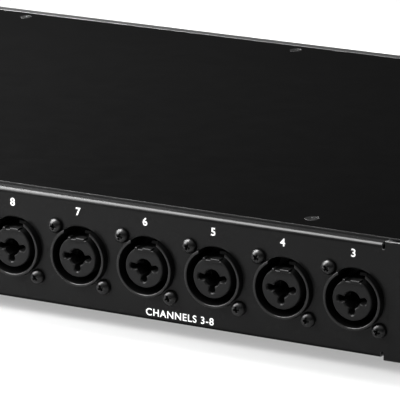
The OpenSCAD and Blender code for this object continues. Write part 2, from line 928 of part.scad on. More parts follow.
module board_standoffs() {
    color([0.7, 0.7, 0.7])
    for (p = all_corners)
        translate([p[0], p[1], -flange_z])
            difference() {
                cylinder(r = standoff_r, h = board_z + flange_z, $fn = 6);
                translate([0, 0, over]) cylinder(r = screw_r + run_gap, h = board_z + flange_z);
            }
}

module board_screws() {
    color([0.6, 0.6, 0.6])
    for (p = all_corners)
        translate([p[0], p[1], board_top]) rotate([90, 0, 0]) pan_screw(board_screw_l);
}

// Each chip: x, y, width, length and height
chip_amp = [8, 6, 1.8];
chip_spots = concat([
    [0, 100, 24, 24, 2], [0, 160, 14, 14, 1.6], [50, 100, 14, 20, 1.6], [50, 160, 10, 6, 2],
    [90, 90, 18, 18, 2], [90, 160, 12, 12, 1.6]
], [for (x = rear_combo_x) [x, 150, chip_amp[0], chip_amp[1], chip_amp[2]]]);

module main_board_chips() {
    color([0.06, 0.06, 0.06])
    for (c = chip_spots)
        translate([c[0], c[1], board_top])
            span([-c[2] / 2, -c[3] / 2, 0], [c[2] / 2, c[3] / 2, c[4]]);
}

transformer_at = [183, 130];
transformer_core = [32, 28, 22];
transformer_coil = [22, 36];
coil_z = 3;
capacitor_r = 6;
capacitor_h = 22;
capacitor_spots = [[162, 185], [176, 185], [162, 90], [182, 92]];
heatsink_at = [206, 108];
heatsink_h = 24;
heatsink_w = 12;
heatsink_l = 25.5;
fin_count = 5;
fin_pitch = 6;
fin_t = 1.5;
fin_base_t = 1.8;

module power_transformer() {
    color([0.8, 0.72, 0.2])
    translate([transformer_at[0], transformer_at[1], board_top]) {
        span([-transformer_core[0] / 2, -transformer_core[1] / 2, 0],
             [transformer_core[0] / 2, transformer_core[1] / 2, transformer_core[2]]);
        span([-transformer_coil[0] / 2, -transformer_coil[1] / 2, coil_z],
             [transformer_coil[0] / 2, transformer_coil[1] / 2, transformer_core[2] - coil_z]);
    }
}

module power_capacitors() {
    color([0.15, 0.15, 0.2])
    for (p = capacitor_spots)
        translate([p[0], p[1], board_top]) cylinder(r = capacitor_r, h = capacitor_h);
}

module regulator_heatsink() {
    color([0.6, 0.6, 0.62])
    translate([heatsink_at[0] - heatsink_w / 2, heatsink_at[1] - heatsink_w, board_top]) {
        cube([fin_base_t, heatsink_l, heatsink_h]);
        for (i = [0 : fin_count - 1])
            translate([0, i * fin_pitch, 0]) cube([heatsink_w, fin_t, heatsink_h]);
    }
}

module front_board() {
    color([0.05, 0.25, 0.12])
    span([-front_board[0], board_front_y, -front_board[1]],
         [front_board[0], board_front_y + board_t, front_board[1]]);
}

// Flat cable from the front board down to the main board
module ribbon_cable() {
    color([0.6, 0.6, 0.62])
    translate([ribbon_x - ribbon_w / 2, 0, 0]) {
        translate([0, board_front_y + board_t, ribbon_z - 1]) cube([ribbon_w, 6, 4]);
        span([0, board_front_y + board_t + 5, ribbon_z],
             [ribbon_w, ribbon_y + ribbon_t, ribbon_z + ribbon_t]);
        span([0, ribbon_y, board_top], [ribbon_w, ribbon_y + ribbon_t, ribbon_z + ribbon_t]);
        translate([0, ribbon_y - 4, board_top]) cube([ribbon_w, 9, 5]);
    }
}

// A control body behind the front panel with its threaded bushing
module control_body(w, depth, bush_out) {
    difference() {
        union() {
            span([-w / 2, -front_wall - depth, -w / 2], [w / 2, -front_wall - gap, w / 2]);
            rod_y(bushing_control_r, -front_wall - over, bush_out);
        }
        rod_y(shaft_r + run_gap, -front_wall - depth - over, bush_out + over);
    }
}

module control_bodies() {
    color([0.5, 0.5, 0.52]) {
        for (x = [gain_x, main_x]) at_front(x, 0) control_body(13, board_front_y - sheet_t, 1);
        for (x = phones_knob_x) at_front(x, 0) control_body(11, 9, 1);
    }
}

tact_side = 6;
tact_y = 9.5;
plunger_in = 1.4;

module tactile_switches() {
    color([0.2, 0.2, 0.2])
    for (b = button_spots)
        translate([b[1], 0, b[2]])
            difference() {
                span([-tact_side / 2, tact_y, -tact_side / 2],
                     [tact_side / 2, board_front_y, tact_side / 2]);
                rod_y(plunger_hole_r, tact_y - over, tact_y + plunger_in + button_travel + 0.4);
            }
}

module meter_window() {
    color([0.05, 0.05, 0.06, 0.6])
    span([window_x[0] + gap, front_y + window_sink, -window_h / 2 + gap],
         [window_x[1] - gap, front_y + window_t, window_h / 2 - gap]);
}

// Level meters: one column of bars for each channel, and the board they stand on
module meter_leds() {
    color([0.2, 0.75, 0.3])
    for (i = [0 : led_columns - 1], j = [0 : led_rows - 1])
        translate([(window_x[0] + window_x[1]) / 2 + (i - (led_columns - 1) / 2) * led_pitch[0], 0,
                   (j - (led_rows - 1) / 2) * led_pitch[1]])
            span([-led_size[0] / 2, front_y + window_t + window_sink, -led_size[1] / 2],
                 [led_size[0] / 2, board_front_y, led_size[1] / 2]);
}

// ---- Moving controls ----

// A turned knob with a chamfered front and a pointer groove, and its shaft
module knob(d, h) {
    difference() {
        union() {
            rod_y(d / 2, knob_gap, h - 1);
            cone_y(d / 2, d / 2 - 1, h - 1, h);
        }
        span([-0.6, h - 0.6, d / 6], [0.6, h + over, d / 2 + over]);
        rod_y(shaft_r + 0.02, -over, h - 3);
        rod_y(4.2, -over, 1.6);
    }
    rod_y(shaft_r, -front_wall - 6, h - 3.2);
}

module gain_knob() {
    color([0.12, 0.12, 0.12]) at_front(gain_x, 0) knob(gain_knob_d, gain_knob_h);
}

module main_knob() {
    color([0.12, 0.12, 0.12]) at_front(main_x, 0) knob(main_knob_d, main_knob_h);
}

module phones_knob(i) {
    color([0.12, 0.12, 0.12]) at_front(phones_knob_x[i], 0) knob(phones_knob_d, phones_knob_h);
}

// A square button: the cap in the panel, a collar behind it and a plunger that enters its switch
module push_button(i) {
    b = button_spots[i];
    s = button_side / 2;
    color([0.75, 0.75, 0.75])
    translate([b[1], 0, b[2]]) {
        span([-s, front_y - button_out, -s], [s, sheet_t + 1, s]);
        span([-s - 0.8, sheet_t + 0.3, -s - 0.8], [s + 0.8, sheet_t + 1.5, s + 0.8]);
        rod_y(plunger_r, sheet_t + 1, tact_y + plunger_in);
    }
}

// The latching switch behind the power button, on its own bracket against the panel
module power_switch() {
    color([0.2, 0.2, 0.22])
    translate([power_x, 0, 0])
        difference() {
            union() {
                span([-4.5, power_switch_y, -4.5], [4.5, power_switch_y + 12, 4.5]);
                for (s = [-1, 1])
                    span([-4.5, sheet_t, s * 6.5 - 0.5], [4.5, power_switch_y + 6, s * 6.5 + 0.5]);
                span([-4.5, power_switch_y + 5, -7], [4.5, power_switch_y + 6, 7]);
            }
            rod_y(plunger_hole_r, power_switch_y - over,
                  power_switch_y + plunger_in + power_button_travel + 1);
        }
}

module power_button() {
    color([0.75, 0.75, 0.75])
    translate([power_x, 0, 0]) {
        rod_y(power_button_r, front_y - power_button_out, sheet_t + 1);
        rod_y(power_button_r + 1, sheet_t + 0.3, sheet_t + 1.5);
        rod_y(plunger_r, sheet_t + 1, power_switch_y + plunger_in);
    }
}

chassis_frame();
top_cover();
bottom_cover();
front_subpanel();
front_panel();
cover_screws();
front_panel_screws();
rubber_feet();
rear_combo_housings();
rear_combo_inserts();
rear_combo_contacts();
rear_combo_screws();
front_combo_housings();
front_combo_inserts();
front_combo_contacts();
front_combo_screws();
line_output_jacks();
line_output_nuts();
phones_jacks();
phones_nuts();
word_clock_shells();
word_clock_insulators();
coaxial_housing();
coaxial_shells();
optical_housings();
optical_door_in();
optical_door_out();
usb_shell();
usb_tongue();
mains_inlet_housing();
mains_inlet_pins();
mains_switch_frame();
mains_switch_rocker();
preamp_board();
main_board();
main_board_chips();
board_standoffs();
board_screws();
power_supply_board();
power_transformer();
power_capacitors();
regulator_heatsink();
front_board();
ribbon_cable();
control_bodies();
tactile_switches();
meter_window();
meter_leds();
gain_knob();
main_knob();
phones_knob(0);  // phones_knob_1
phones_knob(1);  // phones_knob_2
push_button(0);  // button_phantom
push_button(1);  // button_pad
push_button(2);  // button_polarity
push_button(3);  // button_mono
push_button(4);  // button_dim
push_button(5);  // button_mute
power_button();
power_switch();
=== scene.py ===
import json
from math import asin, atan, atan2, copysign, cos, hypot, pi, radians, sin, sqrt, tan

import bmesh
import bpy
from bmesh import ops
from mathutils import Matrix, Vector


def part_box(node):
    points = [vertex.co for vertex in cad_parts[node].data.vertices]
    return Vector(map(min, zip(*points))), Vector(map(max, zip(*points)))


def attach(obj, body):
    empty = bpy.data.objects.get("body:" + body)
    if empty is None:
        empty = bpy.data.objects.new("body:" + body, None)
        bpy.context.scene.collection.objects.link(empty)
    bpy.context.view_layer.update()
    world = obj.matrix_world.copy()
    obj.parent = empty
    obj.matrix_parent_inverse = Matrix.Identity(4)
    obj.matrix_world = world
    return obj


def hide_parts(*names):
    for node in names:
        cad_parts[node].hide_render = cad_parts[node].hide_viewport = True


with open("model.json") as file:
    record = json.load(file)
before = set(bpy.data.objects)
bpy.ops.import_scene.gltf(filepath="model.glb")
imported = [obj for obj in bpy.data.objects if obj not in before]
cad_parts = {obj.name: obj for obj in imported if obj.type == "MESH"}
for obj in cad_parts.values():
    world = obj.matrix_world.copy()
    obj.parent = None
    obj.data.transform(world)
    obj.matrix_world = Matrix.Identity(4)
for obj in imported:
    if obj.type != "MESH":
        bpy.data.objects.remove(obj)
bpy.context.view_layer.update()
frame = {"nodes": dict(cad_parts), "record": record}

MM = 0.001

# Sizes. All lengths are millimetres until a piece is finished; places come from the frame.


def box_mm(node):
    """Lowest and highest corner of a CAD node, in millimetres."""
    low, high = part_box(node)
    return Vector(low) / MM, Vector(high) / MM


def centres(node, count, width):
    """X centres of equal parts of one width that stand in a row and fill a node."""
    low, high = box_mm(node)
    first, last = low.x + width / 2, high.x - width / 2
    return [first + (last - first) * i / (count - 1) for i in range(count)]


def middle(node):
    """Centre of a CAD node's box, in millimetres."""
    low, high = box_mm(node)
    return (low + high) / 2


HALF_W, REAR_Y, HALF_H = box_mm("chassis_frame")[1]
PANEL_LOW, PANEL_HIGH = box_mm("front_panel")
FRONT_Y = PANEL_LOW.y
FLOOR_Z = box_mm("rubber_feet")[0].z
COVER_T = box_mm("top_cover")[1].z - box_mm("top_cover")[0].z
FLANGE_Z = HALF_H - COVER_T

SHEET_T = 1.2
FOLD_R = 1.8
LOWER_FOLD_R = 1.35
FLANGE_D = 22
NOTCH_X = 211.0
NOTCH_W = 1.3
NOTCH_H = 3.1

COMBO_W = 26.4
COMBO_X = centres("rear_combo_housings", 6, COMBO_W)
COMBO_Z = middle("rear_combo_housings").z
FRONT_COMBO_X = centres("front_combo_housings", 2, COMBO_W)
COMBO_SCREW = (10.0, 10.4)
COMBO_HOLE_R = 11.5
COLLAR_R = 11.2
COLLAR_OUT = 2.5
GROOVE_R = 10.2
GROOVE_D = 14
INSERT_R = 7.65
INSERT_SINK = 0.4
LATCH_HALF_W = 5.3

JACK_X = centres("line_output_jacks", 8, 14)
JACK_Z = -3
PHONES_X = centres("phones_jacks", 2, 14)
BUSHING_R = 4.5
BUSHING_OUT = 4.2
JACK_BORE_R = 3.25
NUT_R = 6.6

BNC_X = middle("word_clock_shells").x
BNC_Z = (-10, 10)
RCA_X = middle("coaxial_shells").x
RCA_Z = (-9.5, 8.5)
OPTICAL_X = middle("optical_housings").x
OPTICAL_Z = (-10, 8)
USB_X = middle("usb_shell").x
SWITCH_X = middle("mains_switch_frame").x
INLET_X = middle("mains_inlet_housing").x

KNOBS = {"gain_knob": (22, 15), "main_knob": (30, 17), "phones_knob_1": (14, 13), "phones_knob_2": (14, 13)}
BUTTONS = ("button_phantom", "button_pad", "button_polarity", "button_mono", "button_dim", "button_mute")

# Mesh tools. Parts of the panels are drawn with +Y out of the panel and y = 0 on its face.


def outward(bm):
    """The same mesh, with its faces turned outward."""
    ops.recalc_face_normals(bm, faces=bm.faces)
    return bm


def placed(bm, matrix):
    """The same mesh, moved by a matrix."""
    ops.transform(bm, matrix=matrix, verts=bm.verts)
    return bm


def lathe(profile, segments=64, closed=False):
    """Turns a profile of (radius, y) points round the Y axis."""
    bm = bmesh.new()
    rings = []
    for r, y in profile:
        if r < 1e-6:
            rings.append([bm.verts.new((0, y, 0))])
            continue
        steps = [2 * pi * i / segments for i in range(segments)]
        rings.append([bm.verts.new((r * cos(a), y, r * sin(a))) for a in steps])
    pairs = list(zip(rings, rings[1:]))
    if closed:
        pairs.append((rings[-1], rings[0]))
    for a, b in pairs:
        join_rings(bm, a, b)
    return outward(bm)


def join_rings(bm, a, b):
    """Faces between two rings of vertices; a ring of one vertex is a tip."""
    count = max(len(a), len(b))
    for i in range(count):
        j = (i + 1) % count
        if len(a) == 1:
            bm.faces.new((a[0], b[j], b[i]))
        elif len(b) == 1:
            bm.faces.new((a[i], a[j], b[0]))
        else:
            bm.faces.new((a[i], a[j], b[j], b[i]))


def stack(layers):
    """A tube through loops of (x, z) points, each given as (y, loop); all loops have the same count."""
    bm = bmesh.new()
    rings = [[bm.verts.new((x, y, z)) for x, z in loop] for y, loop in layers]
    for a, b in zip(rings, rings[1:]):
        join_rings(bm, a, b)
    return outward(bm)


def sheet(outer, holes=()):
    """A flat sheet in the plane y = 0 that faces +Y, with holes; outlines are lists of (x, z)."""
    bm = bmesh.new()
    edges = []
    for loop in (outer, *holes):
        ring = [bm.verts.new((x, 0, z)) for x, z in loop]
        edges += [bm.edges.new(pair) for pair in zip(ring, ring[1:] + ring[:1])]
    ops.triangle_fill(bm, use_beauty=True, use_dissolve=False, edges=edges, normal=(0, 1, 0))
    outward(bm)
    if sum(f.normal.y * f.calc_area() for f in bm.faces) < 0:
        ops.reverse_faces(bm, faces=bm.faces)
    return bm


def prism(outer, y0, y1, holes=()):
    """An outline of (x, z) points, with holes, from y0 to y1."""
    bm = sheet(outer, holes)
    ops.translate(bm, verts=bm.verts, vec=(0, y1, 0))
    bottom = ops.extrude_face_region(bm, geom=bm.faces[:], use_keep_orig=True)["geom"]
    lower = [v for v in bottom if isinstance(v, bmesh.types.BMVert)]
    ops.translate(bm, verts=lower, vec=(0, y0 - y1, 0))
    return outward(bm)


def block(low, high):
    """A box between two corners."""
    (x0, y0, z0), (x1, y1, z1) = low, high
    return prism([(x0, z0), (x1, z0), (x1, z1), (x0, z1)], y0, y1)


def polar(r, angle, x=0.0, z=0.0):
    """The point at a distance and an angle from (x, z)."""
    return (x + r * cos(angle), z + r * sin(angle))


def circle(x, z, r, count=48):
    """Points of a circle."""
    return [polar(r, 2 * pi * i / count, x, z) for i in range(count)]


def rounded(x, z, w, h, r, steps=5):
    """Points of a rectangle of size w by h about (x, z), with round corners."""
    points = []
    for cx, cz, start in ((1, 1, 0), (-1, 1, 90), (-1, -1, 180), (1, -1, 270)):
        for i in range(steps + 1):
            a = radians(start + 90 * i / steps)
            points.append(polar(r, a, x + cx * (w / 2 - r), z + cz * (h / 2 - r)))
    return points


def merge(*parts):
    """One mesh out of several."""
    out = bmesh.new()
    for part in parts:
        add(out, part, Matrix.Identity(4))
    return out


def add(out, part, matrix):
    """Puts a copy of part into out, through a matrix."""
    copies = {v: out.verts.new(matrix @ v.co) for v in part.verts}
    for f in part.faces:
        face = out.faces.new([copies[v] for v in f.verts])
        face.material_index = f.material_index


def spread(part, matrices):
    """Copies of one part at several places, as one mesh."""
    out = bmesh.new()
    for matrix in matrices:
        add(out, part, matrix)
    return out


def moved(part, x=0.0, y=0.0, z=0.0):
    """The same mesh, shifted."""
    return placed(part, Matrix.Translation((x, y, z)))


def setup(thing, **values):
    """Sets several properties of a thing and hands it back."""
    for key, value in values.items():
        setattr(thing, key, value)
    return thing


def put(name, data):
    """A new object in the scene."""
    obj = bpy.data.objects.new(name, data)
    bpy.context.collection.objects.link(obj)
    return obj


def cut(part, cutter):
    """The part with the cutter's volume taken away."""
    objects = []
    for index, bm in enumerate((part, cutter)):
        mesh = bpy.data.meshes.new(f"cut_{index}")
        bm.to_mesh(mesh)
        objects.append(put(f"cut_{index}", mesh))
    setup(objects[0].modifiers.new("cut", "BOOLEAN"), object=objects[1], solver="EXACT", use_self=True)
    graph = bpy.context.evaluated_depsgraph_get()
    result = bpy.data.meshes.new_from_object(objects[0].evaluated_get(graph))
    out = bmesh.new()
    out.from_mesh(result)
    for obj in objects:
        bpy.data.meshes.remove(obj.data)
    bpy.data.meshes.remove(result)
    return out


FACE_UP = Matrix(((1, 0, 0, 0), (0, 0, -1, 0), (0, 1, 0, 0), (0, 0, 0, 1)))
FACE_DOWN = Matrix(((1, 0, 0, 0), (0, 0, 1, 0), (0, -1, 0, 0), (0, 0, 0, 1)))


def at_rear(x, z):
    """Places a part on the rear panel."""
    return Matrix.Translation((x, REAR_Y, z))


def at_front(x, z, turn=0.0):
    """Places a part on the front panel."""
    turned = Matrix.Rotation(pi, 4, "Z") @ Matrix.Rotation(radians(turn), 4, "Y")
    return Matrix.Translation((x, FRONT_Y, z)) @ turned


def piece(name, bm, materials, nodes=(), places=(), body="chassis", bevel=0.0, sharp=34, segments=2):
    """Makes a mesh a finished piece in metres: materials by name, edge rounding and the body it rides on."""
    if places:
        bm = spread(bm, places)
    placed(bm, Matrix.Scale(MM, 4))
    mesh = bpy.data.meshes.new(name)
    bm.to_mesh(mesh)
    bm.free()
    obj = put(name, mesh)
    for material in [materials] if isinstance(materials, str) else materials:
        mesh.materials.append(MATERIALS[material])
    finish_edges(obj, bevel, sharp, segments)
    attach(obj, body)
    if nodes:
        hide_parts(*nodes)
    return obj


def round_edges(obj, width, sharp, segments):
    """A small round, width in millimetres, on the edges sharper than an angle in degrees."""
    return setup(obj.modifiers.new("edge_round", "BEVEL"), width=width * MM, segments=segments,
                 limit_method="ANGLE", angle_limit=radians(sharp))


def finish_edges(obj, bevel, sharp, segments=2):
    """Smooth shading that keeps the sharp edges, and a small round on them."""
    for polygon in obj.data.polygons:
        polygon.use_smooth = True
    obj.data.set_sharp_from_angle(angle=radians(sharp))
    if bevel:
        setup(round_edges(obj, bevel, sharp, segments), use_clamp_overlap=False, loop_slide=False,
              miter_outer="MITER_ARC", face_strength_mode="FSTR_ALL")
    setup(obj.modifiers.new("weighted_normals", "WEIGHTED_NORMAL"), keep_sharp=not bevel,
          use_face_influence=bool(bevel))


# Materials


BROAD_NOISE = 0.045  # scale of the broad noise, as a share of the fine grain's
RELIEF = 0.0002
LEAST_ROUGH = 0.02


def feed(tree, target, inputs):
    """Sets inputs of a node, each to a value or to another node's output."""
    for key, value in inputs.items():
        if isinstance(value, bpy.types.NodeSocket):
            tree.links.new(value, target.inputs[key])
        else:
            target.inputs[key].default_value = value


def wire(tree, kind, inputs=None):
    """A new shader node, wired to its inputs."""
    new = tree.nodes.new("ShaderNode" + kind)
    feed(tree, new, inputs or {})
    return new


def surface(name, colour, roughness, grain, bump, metallic=0.0, specular=0.5, mottle=0.12, uneven=0.08,
            stretch=(1, 1, 1), alpha=1.0, dull_under=False):
    """A principled material whose colour, roughness and relief all vary with noise, in metres; it can also
    carry painted shade, a specular that fades out on faces that point down.
    """
    material = setup(bpy.data.materials.new(name), use_nodes=True)
    tree = material.node_tree
    place = wire(tree, "TexCoord")
    scaled = wire(tree, "Mapping", {"Vector": place.outputs["Object"], "Scale": stretch}).outputs["Vector"]
    broad = wire(tree, "TexNoise", {"Vector": scaled, "Scale": grain * BROAD_NOISE, "Detail": 4})
    broad = broad.outputs["Fac"]
    fine = wire(tree, "TexNoise", {"Vector": scaled, "Scale": grain, "Detail": 3}).outputs["Fac"]
    half = setup(wire(tree, "Math", {0: fine, 1: 0.5}), operation="MULTIPLY")
    average = setup(wire(tree, "Math", {0: broad, 1: 0.5, 2: half.outputs[0]}), operation="MULTIPLY_ADD")
    dark, light = [[min(1, c * (1 + change)) for c in colour[:3]] + [1] for change in (-mottle, mottle)]
    blend = wire(tree, "MixRGB", {"Fac": average.outputs[0], "Color1": dark, "Color2": light})
    rough = wire(tree, "MapRange", {"Value": broad, "To Min": max(LEAST_ROUGH, roughness - uneven),
                                    "To Max": min(1.0, roughness + uneven)})
    relief = wire(tree, "Bump", {"Strength": bump, "Distance": RELIEF, "Height": fine})
    # Painted shade: the specular fades to nothing on faces that point down, so the fold under the chassis
    # shows no floor reflection.
    if dull_under:
        upward = wire(tree, "SeparateXYZ", {"Vector": wire(tree, "NewGeometry").outputs["Normal"]})
        shine = wire(tree, "MapRange", {"Value": upward.outputs["Z"], "From Min": -0.45, "From Max": -0.05,
                                        "To Max": specular})
        specular = shine.outputs["Result"]
    feed(tree, tree.nodes["Principled BSDF"], {
        "Base Color": blend.outputs["Color"], "Roughness": rough.outputs["Result"],
        "Normal": relief.outputs["Normal"], "Metallic": metallic, "Specular IOR Level": specular,
        "Alpha": alpha})
    return material


def grey(value):
    """A neutral linear colour."""
    return (value, value, value * 1.01)


# name: colour, roughness, grain, relief, and what else differs
FINISHES = {
    # chassis_paint carries painted shade underneath: no reflection on faces that point down.
    "chassis_paint": (grey(0.0038), 0.26, 2600, 0.06, dict(specular=0.09, dull_under=True)),
    "raw_edge": (grey(0.035), 0.4, 1800, 0.08, dict(specular=0.6)),
    "cover_paint": (grey(0.001), 0.3, 2600, 0.05, dict(specular=0.01, uneven=0.04)),
    "cover_edge": (grey(0.013), 0.4, 1800, 0.08, dict(specular=0.25)),
    "front_anodised": (grey(0.016), 0.36, 900, 0.10, dict(metallic=0.35, stretch=(0.04, 1, 1.6))),
    "black_screw": (grey(0.0035), 0.3, 1500, 0.04, dict(specular=0.2)),
    "foot_rubber": (grey(0.018), 0.8, 1800, 0.2, dict(specular=0.3)),
    "socket_housing": (grey(0.003), 0.3, 1500, 0.05, dict(specular=0.22)),
    # Collar plastic, darker and duller than socket_housing: black plastic with painted shade, for the deep
    # groove.
    "groove_black_painted_shade": (grey(0.0015), 0.6, 1500, 0.05, dict(specular=0.05)),
    "socket_insert": (grey(0.0085), 0.36, 1700, 0.08, dict(specular=0.06)),
    "contact_gold": ((0.75, 0.50, 0.20), 0.24, 700, 0.02, dict(metallic=1.0)),
    "black_nut": (grey(0.02), 0.35, 1400, 0.06, {}),
    "nickel": ((0.62, 0.61, 0.59), 0.25, 900, 0.03, dict(metallic=1.0)),
    "white_insulator": ((0.72, 0.71, 0.68), 0.4, 900, 0.04, dict(mottle=0.05)),
    "shutter_grey": (grey(0.03), 0.45, 1500, 0.05, {}),
    "usb_plastic": ((0.70, 0.70, 0.67), 0.4, 1300, 0.05, dict(mottle=0.04)),
    "board_green": ((0.010, 0.10, 0.045), 0.3, 300, 0.15, dict(mottle=0.5)),
    "board_tan": ((0.28, 0.16, 0.055), 0.55, 400, 0.15, dict(mottle=0.25)),
    "chip_black": (grey(0.012), 0.55, 1800, 0.10, {}),
    "transformer_tape": ((0.55, 0.40, 0.04), 0.3, 260, 0.2, {}),
    "capacitor_sleeve": ((0.012, 0.014, 0.03), 0.28, 500, 0.05, {}),
    "bare_aluminium": ((0.55, 0.56, 0.58), 0.35, 600, 0.15, dict(metallic=1.0, stretch=(1, 1, 0.05))),
    "cable_grey": ((0.32, 0.32, 0.34), 0.5, 700, 0.15, {}),
    "knob_black": (grey(0.012), 0.38, 1700, 0.06, dict(specular=0.45)),
    "button_grey": ((0.42, 0.42, 0.43), 0.42, 1500, 0.05, dict(mottle=0.05)),
    "smoked_window": (grey(0.01), 0.06, 400, 0.0, dict(alpha=0.55, mottle=0.1, uneven=0.02)),
    "white_print": ((0.80, 0.80, 0.80), 0.5, 2500, 0.05, dict(mottle=0.03)),
    "window_black": (grey(0.004), 0.5, 900, 0.05, {}),
}
MATERIALS = {name: surface(name, *basics, **extras) for name, (*basics, extras) in FINISHES.items()}


def glowing(name, colour, strength=0.9):
    """A light-emitting plastic whose brightness varies a little over its face."""
    material = surface(name, colour, 0.35, 700, 0.05)
    tree = material.node_tree
    noise = wire(tree, "TexNoise", {"Scale": 500})
    power = wire(tree, "MapRange", {"Value": noise.outputs["Fac"], "To Min": strength * 0.8,
                                    "To Max": strength * 1.2})
    feed(tree, tree.nodes["Principled BSDF"], {"Emission Color": (*colour, 1),
                                               "Emission Strength": power.outputs["Result"]})
    return material


GLOWS = {"led_green": (0.10, 0.75, 0.18), "led_yellow": (0.85, 0.62, 0.05), "led_red": (0.80, 0.05, 0.03),
         "led_white": (0.80, 0.85, 0.90)}
MATERIALS.update({name: glowing(name, colour) for name, colour in GLOWS.items()})

# Folded sheet metal


def strip_x(y):
    """How far along the flat strip a place on a side wall lies, from its y."""
    return HALF_W - FOLD_R + FOLD_R * pi / 2 + (REAR_Y - FOLD_R - y)


def chassis_outline():
    """Outline of the flat strip before folding: rear wall, side walls and both flanges."""
    flange_end = FLANGE_Z - FOLD_R + FOLD_R * pi / 2 + FLANGE_D - FOLD_R
    slot_r = NOTCH_W / 2
    slot_end = HALF_H - NOTCH_H + slot_r
    strip_end = strip_x(0)
    quarter = [(strip_end, HALF_H), (NOTCH_X + slot_r, HALF_H)]
    for i in range(9):
        a = pi * i / 8
        quarter.append(polar(slot_r, -a, NOTCH_X, slot_end))
    quarter.append((NOTCH_X - slot_r, flange_end))
    top = quarter + [(-x, z) for x, z in reversed(quarter)]
    return top + [(x, -z) for x, z in reversed(top)]


def chassis_holes():
    """Holes in the rear wall and vents in the side walls."""
    holes = [circle(x, COMBO_Z, COMBO_HOLE_R, 72) for x in COMBO_X]
    holes += [circle(x, JACK_Z, BUSHING_R + 0.2, 40) for x in JACK_X]
    holes += [circle(BNC_X, z, 6.4, 40) for z in BNC_Z] + [circle(RCA_X, z, 5.1, 40) for z in RCA_Z]
    holes += [rounded(OPTICAL_X, z, 10.2, 10.2, 0.3, 2) for z in OPTICAL_Z]
    holes.append(rounded(USB_X, JACK_Z, 12.2, 11.2, 0.3, 2))
    holes.append(rounded(SWITCH_X, 0, 13.2, 19.6, 0.5, 3))
    holes.append(rounded(INLET_X, 0, 27.2, 20.0, 0.5, 3))
    for side in (-1, 1):
        holes += [rounded(side * strip_x(40 + 14 * i), 0, 3, 20, 1.49, 6) for i in range(12)]
    return holes


def fold(offset, half, radius):
    """Where a point of the strip goes: (across, depth) after a right-angled fold near half."""
    flat = half - radius
    arc = radius * pi / 2
    a, sign = abs(offset), copysign(1, offset)
    if a <= flat:
        return sign * a, 0.0
    if a <= flat + arc:
        turn = (a - flat) / radius
        return sign * (flat + radius * sin(turn)), radius * (1 - cos(turn))
    return sign * half, radius + a - flat - arc


def folded_chassis():
    """The rear wall and side walls as one folded strip with thickness."""
    bm = sheet(chassis_outline(), chassis_holes())
    steps = 8
    for axis, sign, half, radius in ((0, 1, HALF_W, FOLD_R), (0, -1, HALF_W, FOLD_R),
                                     (2, 1, FLANGE_Z, FOLD_R), (2, -1, FLANGE_Z, LOWER_FOLD_R)):
        flat, arc = half - radius, radius * pi / 2
        for line in [flat - 0.2, flat + arc + 0.2] + [flat + arc * i / steps for i in range(steps + 1)]:
            at = [0, 0, 0]
            normal = [0, 0, 0]
            at[axis] = sign * line
            normal[axis] = 1
            geom = bm.verts[:] + bm.edges[:] + bm.faces[:]
            ops.bisect_plane(bm, geom=geom, dist=1e-4, plane_co=at, plane_no=normal)
    for v in bm.verts:
        x, _, z = v.co
        across, depth = fold(x, HALF_W, FOLD_R)
        if abs(x) < NOTCH_X:
            z, rise_depth = fold(z, FLANGE_Z, FOLD_R if z > 0 else LOWER_FOLD_R)
            depth += rise_depth
        v.co = (across, REAR_Y - depth, z)
    ops.remove_doubles(bm, verts=bm.verts, dist=1e-4)
    bm.normal_update()
    return bm


def chassis_piece():
    """Folded steel: thickness, then a small round on the raw edges."""
    bm = folded_chassis()
    obj = piece("rear_panel_and_sides", bm, ["chassis_paint", "raw_edge"], ["chassis_frame"])
    obj.modifiers.clear()
    setup(obj.modifiers.new("thickness", "SOLIDIFY"), thickness=SHEET_T * MM, offset=-1,
          use_even_offset=True, material_offset_rim=1)
    finish_edges(obj, 0.14, 40)


def cover_screw_places():
    """(x, y) of the screws of one cover, from the frame's own screw rows."""
    low, high = box_mm("cover_screws")
    front_y, rear_y = low.y + 2.5, high.y - 2.5
    places = [(x, front_y) for x in (-191.5, -58.6, 74.3, 207.2)]
    places += [(x, rear_y) for x in (-176.2, 0, 176.2)]
    tab_x = HALF_W - SHEET_T - 7
    return places + [(side * tab_x, y) for side in (-1, 1) for y in (90, 170)]


def cover_piece(name):
    """A flat cover with countersunk screw holes, between the side walls."""
    low, high = box_mm(name)
    outline = [(low.x, low.y), (high.x, low.y), (high.x, high.y), (low.x, high.y)]
    holes = [circle(x, y, 2.62, 40) for x, y in cover_screw_places()]
    bm = prism(outline, -COVER_T / 2, COVER_T / 2, holes)
    lay_flat = Matrix(((1, 0, 0, 0), (0, 0, 1, 0), (0, 1, 0, (low.z + high.z) / 2), (0, 0, 0, 1)))
    outward(placed(bm, lay_flat))
    bm.normal_update()
    for face in bm.faces:
        face.material_index = int(abs(face.normal.z) < 0.5)
    piece(name + "_sheet", bm, ["cover_paint", "cover_edge"], [name], bevel=0.12)


# Fasteners


def cross_recess(width, length, depth, top):
    """The cutter for a cross recess: two tapering blades and a small cone."""
    blades = []
    for quarter in (0, 1):
        w, n = width / 2, length / 2
        wide = [(-n, -w), (n, -w), (n, w), (-n, w)]
        narrow = [(x * 0.55, z * 0.6) for x, z in wide]
        if quarter:
            wide, narrow = [[(z, x) for x, z in loop] for loop in (wide, narrow)]
        blade = stack([(top - depth, narrow), (top + 0.5, wide)])
        ops.contextual_create(blade, geom=[e for e in blade.edges if e.is_boundary])
        ops.holes_fill(blade, edges=[e for e in blade.edges if e.is_boundary])
        blades.append(outward(blade))
    cone = lathe([(0, top - depth - 0.3), (width * 0.75, top + 0.5), (0, top + 0.5)], 16)
    return merge(*blades, cone)


def pan_screw(length, radius=2.8, height=2.6, brim=0.6):
    """A domed screw with a cross recess."""
    dome = [(radius * cos(a), brim + (height - brim) * sin(a))
            for a in (radians(7.5 * i) for i in range(1, 12))]
    profile = [(0, -length), (1.3, -length), (1.45, -length + 0.3), (1.45, 0), (radius, 0),
               (radius, brim), *dome, (0, height)]
    return cut(lathe(profile, 56), cross_recess(0.95, 2.9, 1.7, height))


